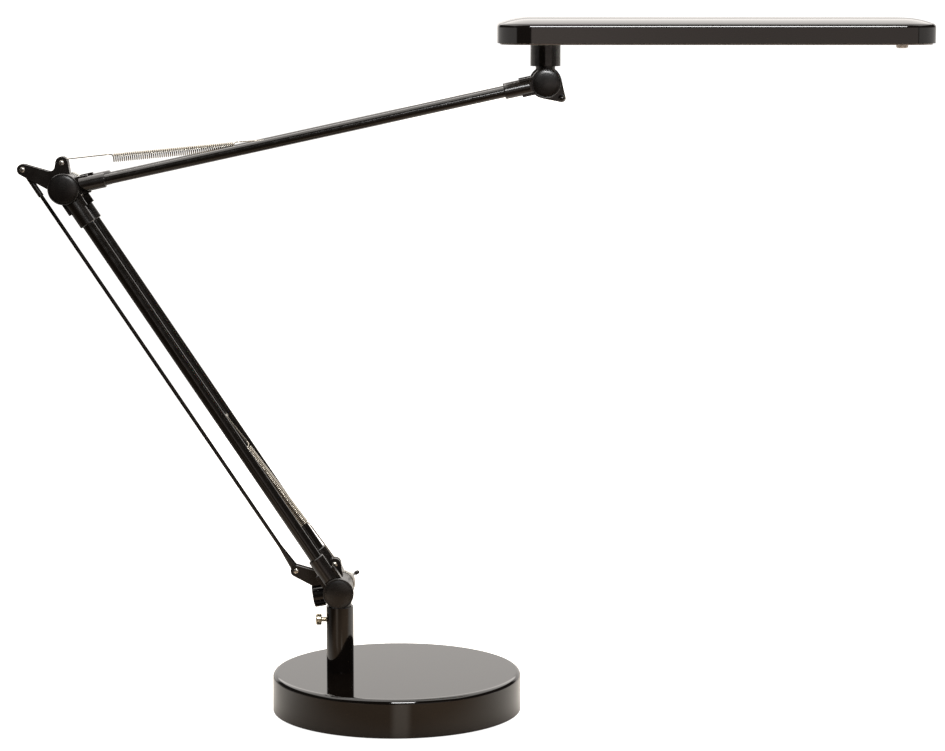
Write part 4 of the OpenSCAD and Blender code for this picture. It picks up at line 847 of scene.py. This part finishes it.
# ---------- Studio ----------
# A plain white table in a pale room, bright behind the lamp and overhead and dark in front.
# One large soft light stands high up in front, with two white cards low down behind it.
bpy.ops.object.select_all(action='DESELECT')
bpy.ops.mesh.primitive_plane_add(size=30)
floor = bpy.context.object
floor.name = "studio_floor"
paper, laid = new_finish("white_paper")
# The paper's fibres make a faint mottle about a millimetre wide.
fibre = add_node(paper, "TexNoise", {"Scale": 0.9 / mm}, {"Vector": laid})
table = add_node(paper, "SeparateXYZ", {}, {"Vector": laid})
# Painted shade and light in the paper's colour: it is painted darker and warmer in front of the
# lamp, painted darker in a band on the left that returns far out, and painted a little lighter on
# the right.
painted_fades = {}
for name, axis, start, end, low, high in (
        ("near", "Y", -0.16, 0.02, 0, 1), ("front", "Y", -0.62, -0.2, 0.12, 1),
        ("left", "X", -0.34, -0.22, 0.25, 1), ("far left", "X", -1.0, -1.4, 0, 1),
        ("right", "X", 0, 0.08, 1, 1.3)):
    painted_fades[name] = add_node(paper, "MapRange",
                          {"interpolation_type": 'SMOOTHSTEP', "From Min": start, "From Max": end,
                           "To Min": low, "To Max": high}, {"Value": (table, axis)})
# Painted shade and light: the fades are multiplied into one painted dimming of the paper.
painted_dimming = painted_fades["left"]
for name, how in (("far left", 'MAXIMUM'), ("right", 'MULTIPLY'), ("front", 'MULTIPLY')):
    painted_dimming = add_node(paper, "Math", {"operation": how}, {0: (painted_dimming, 0), 1: (painted_fades[name], 0)})
# Painted shade: the paper turns darker and warmer in front of the lamp.
painted_falloff = add_node(paper, "Mix", {"data_type": 'RGBA', 6: linear("b5a08c"), 7: linear("fffdfb")},
                    {0: (painted_fades["near"], 0)})
# Two painted pools of light in the paper's colour, each widening away from the round thing that
# mirrors it, so that its reflection is an upright band: on the base's side, and on the post.
painted_pools = []
for axis, round_r, middle, half, starts, ends_at, strength in (
        (0, base_d / 2, 0.05, 0.1, -0.095, -0.3, 0.7),
        (post_x, post_r, -0.22, 0.14, -0.2, -0.6, 0.4)):
    beside = add_node(paper, "Math", {"operation": 'SUBTRACT', 1: axis}, {0: (table, "X")})
    ahead = add_node(paper, "Math", {"operation": 'MULTIPLY_ADD', 1: -2, 2: -round_r},
                     {0: (table, "Y")})
    band = add_node(paper, "Math", {"operation": 'DIVIDE'}, {0: (beside, 0), 1: (ahead, 0)})
    off = add_node(paper, "Math", {"operation": 'SUBTRACT', 1: middle}, {0: (band, 0)})
    aside = add_node(paper, "Math", {"operation": 'ABSOLUTE'}, {0: (off, 0)})
    lit = add_node(paper, "MapRange",
                   {"interpolation_type": 'SMOOTHSTEP', "From Min": half, "From Max": 0.3 * half,
                    "To Max": strength}, {"Value": (aside, 0)})
    faint = add_node(paper, "MapRange",
                     {"interpolation_type": 'SMOOTHSTEP', "From Min": ends_at,
                      "From Max": ends_at + 0.1}, {"Value": (table, "Y")})
    in_front = add_node(paper, "Math", {"operation": 'LESS_THAN', 1: starts}, {0: (table, "Y")})
    shown = add_node(paper, "Math", {"operation": 'MULTIPLY'}, {0: (lit, 0), 1: (faint, 0)})
    painted_pools.append(add_node(paper, "Math", {"operation": 'MULTIPLY'},
                          {0: (shown, 0), 1: (in_front, 0)}))
# Painted light: the two pools together.
painted_pool = add_node(paper, "Math", {"operation": 'ADD'}, {0: (painted_pools[0], 0), 1: (painted_pools[1], 0)})
paper_tone = add_node(paper, "Mix",
                      {"data_type": 'RGBA', 6: linear("c8c6c2"), 7: linear("c2c0bc")},
                      {0: (fibre, "Fac")})
toned = add_node(paper, "Mix", {"data_type": 'RGBA', "blend_type": 'MULTIPLY', 0: 1},
                 {6: (paper_tone, 2), 7: (painted_falloff, 2)})
faded = add_node(paper, "Mix", {"data_type": 'RGBA', "blend_type": 'MULTIPLY', 0: 1},
                 {6: (toned, 2), 7: (painted_dimming, 0)})
# The painted pools of light are mixed into the paper's colour here.
shaded = add_node(paper, "Mix", {"data_type": 'RGBA', 7: linear("e8dccf")},
                  {0: (painted_pool, 0), 6: (faded, 2)})
# The table also glows an even white for camera rays only, so the camera sees a clean white while
# reflections see it softer.
seen = add_node(paper, "LightPath")
lift = add_node(paper, "Math", {"operation": 'MULTIPLY', 1: 0.95}, {0: (seen, "Is Camera Ray")})
sheet = add_node(paper, "BsdfPrincipled",
                 {"Roughness": 0.9, "Specular IOR Level": 0, "Emission Color": linear("ffffff")},
                 {"Base Color": (shaded, 2), "Emission Strength": (lift, 0)})
add_node(paper, "OutputMaterial", {}, {"Surface": (sheet, 0)})
floor.data.materials.append(paper)

# The cards glow by their own emission, as painted light standing in for white foam board lit from
# its own side, out of the camera's sight. A card's own X runs the other way from the room's, so
# its left end is the brighter one.
glowing_card_finish, laid = new_finish("glowing_white_card")
card_end = add_node(glowing_card_finish, "SeparateXYZ", {}, {"Vector": laid})
level = add_node(glowing_card_finish, "MapRange",
                 {"interpolation_type": 'SMOOTHSTEP', "From Min": 0.5, "From Max": 0.38,
                  "To Min": 1.08, "To Max": 0.78}, {"Value": (card_end, "X")})
shine = add_node(glowing_card_finish, "Emission", {"Color": linear("ffefe6")}, {"Strength": (level, 0)})
add_node(glowing_card_finish, "OutputMaterial", {}, {"Surface": (shine, 0)})
card_h, card_y = 0.62, -3.2
for name, left, right in (("white_card", 0.115, 4.0), ("slim_card", -0.015, 0.095)):
    bpy.ops.mesh.primitive_plane_add(size=1)
    card = bpy.context.object
    card.name = name
    card.scale = (right - left, card_h, 1)
    card.rotation_euler = (math.radians(90), 0, math.radians(180))
    card.location = ((left + right) / 2, card_y, card_h / 2)
    card.data.materials.append(glowing_card_finish)
    card.visible_camera = False

room = bpy.data.worlds.new("pale_room")
bpy.context.scene.world = room
room.use_nodes = True
room.node_tree.nodes.clear()
place = add_node(room, "TexCoord")
way = add_node(room, "SeparateXYZ", {}, {"Vector": (place, "Generated")})
# The ceiling is marked out on the plane overhead: so far forth and so far aside for one up.
height = add_node(room, "Math", {"operation": 'MAXIMUM', 1: 0.001}, {0: (way, "Z")})
forth = add_node(room, "Math", {"operation": 'DIVIDE'}, {0: (way, "Y"), 1: (height, 0)})
aside = add_node(room, "Math", {"operation": 'DIVIDE'}, {0: (way, "X"), 1: (height, 0)})
width = add_node(room, "Math", {"operation": 'ABSOLUTE'}, {0: (aside, 0)})
# The back wall, seen over the lamp, the pale skirting of the side walls, and the bright
# ceiling's three edges, from over the lamp's front to far behind it.
part = {}
for name, source, start, end, low, high in (
        ("back wall", (way, "Y"), 0.74, 0.86, 0.05, 1.15), ("low", (way, "Z"), 0.03, 0.01, 0, 1),
        ("beside", (way, "Y"), -0.66, -0.58, 0, 0.8),
        ("near edge", (forth, 0), -0.5, -0.38, 0, 2.8), ("far edge", (forth, 0), 3.6, 2.6, 0, 1),
        ("side edge", (width, 0), 1.35, 1.0, 0, 1)):
    part[name] = add_node(room, "MapRange",
                          {"interpolation_type": 'SMOOTHSTEP', "From Min": start, "From Max": end,
                           "To Min": low, "To Max": high}, {"Value": source})
for name, how, first, second in (
        ("skirting", 'MULTIPLY', "low", "beside"), ("deep", 'MULTIPLY', "near edge", "far edge"),
        ("ceiling", 'MULTIPLY', "deep", "side edge"),
        ("round about", 'MAXIMUM', "back wall", "skirting"),
        ("walls", 'MAXIMUM', "round about", "ceiling")):
    part[name] = add_node(room, "Math", {"operation": how},
                          {0: (part[first], 0), 1: (part[second], 0)})
seen = add_node(room, "LightPath")
tint = add_node(room, "Mix", {"data_type": 'RGBA', 6: linear("fffaf5"), 7: linear("ffffff")},
                {0: (seen, "Is Camera Ray")})
brightness = add_node(room, "Math", {"operation": 'MAXIMUM'},
                      {0: (part["walls"], 0), 1: (seen, "Is Camera Ray")})
glow = add_node(room, "Background", {}, {"Color": (tint, 2), "Strength": (brightness, 0)})
add_node(room, "OutputWorld", {}, {"Surface": (glow, 0)})

# The soft light faces a point halfway up the lamp.
light = bpy.data.lights.new("front_softbox", 'AREA')
light.shape, light.size, light.size_y, light.energy = 'RECTANGLE', 0.9, 0.54, 58
softbox = add_object("front_softbox", light)
softbox.location, lit_point = (0.3, -2.2, 1.78), Vector((0.05, 0, 0.3))
softbox.rotation_euler = (lit_point - softbox.location).to_track_quat('-Z', 'Y').to_euler()

# The camera stands two metres off, a little above the head, and looks slightly down.
lens = bpy.data.cameras.new("camera")
lens.lens, lens.sensor_width, lens.clip_end = 109.1, 36, 40
camera = add_object("camera", lens)
camera.location, looks_down = (0.058, -2.150, 0.5466), 7.64
camera.rotation_euler = (math.radians(90 - looks_down), 0, 0)
bpy.context.scene.camera = camera
bpy.context.scene.view_settings.view_transform = 'Standard'
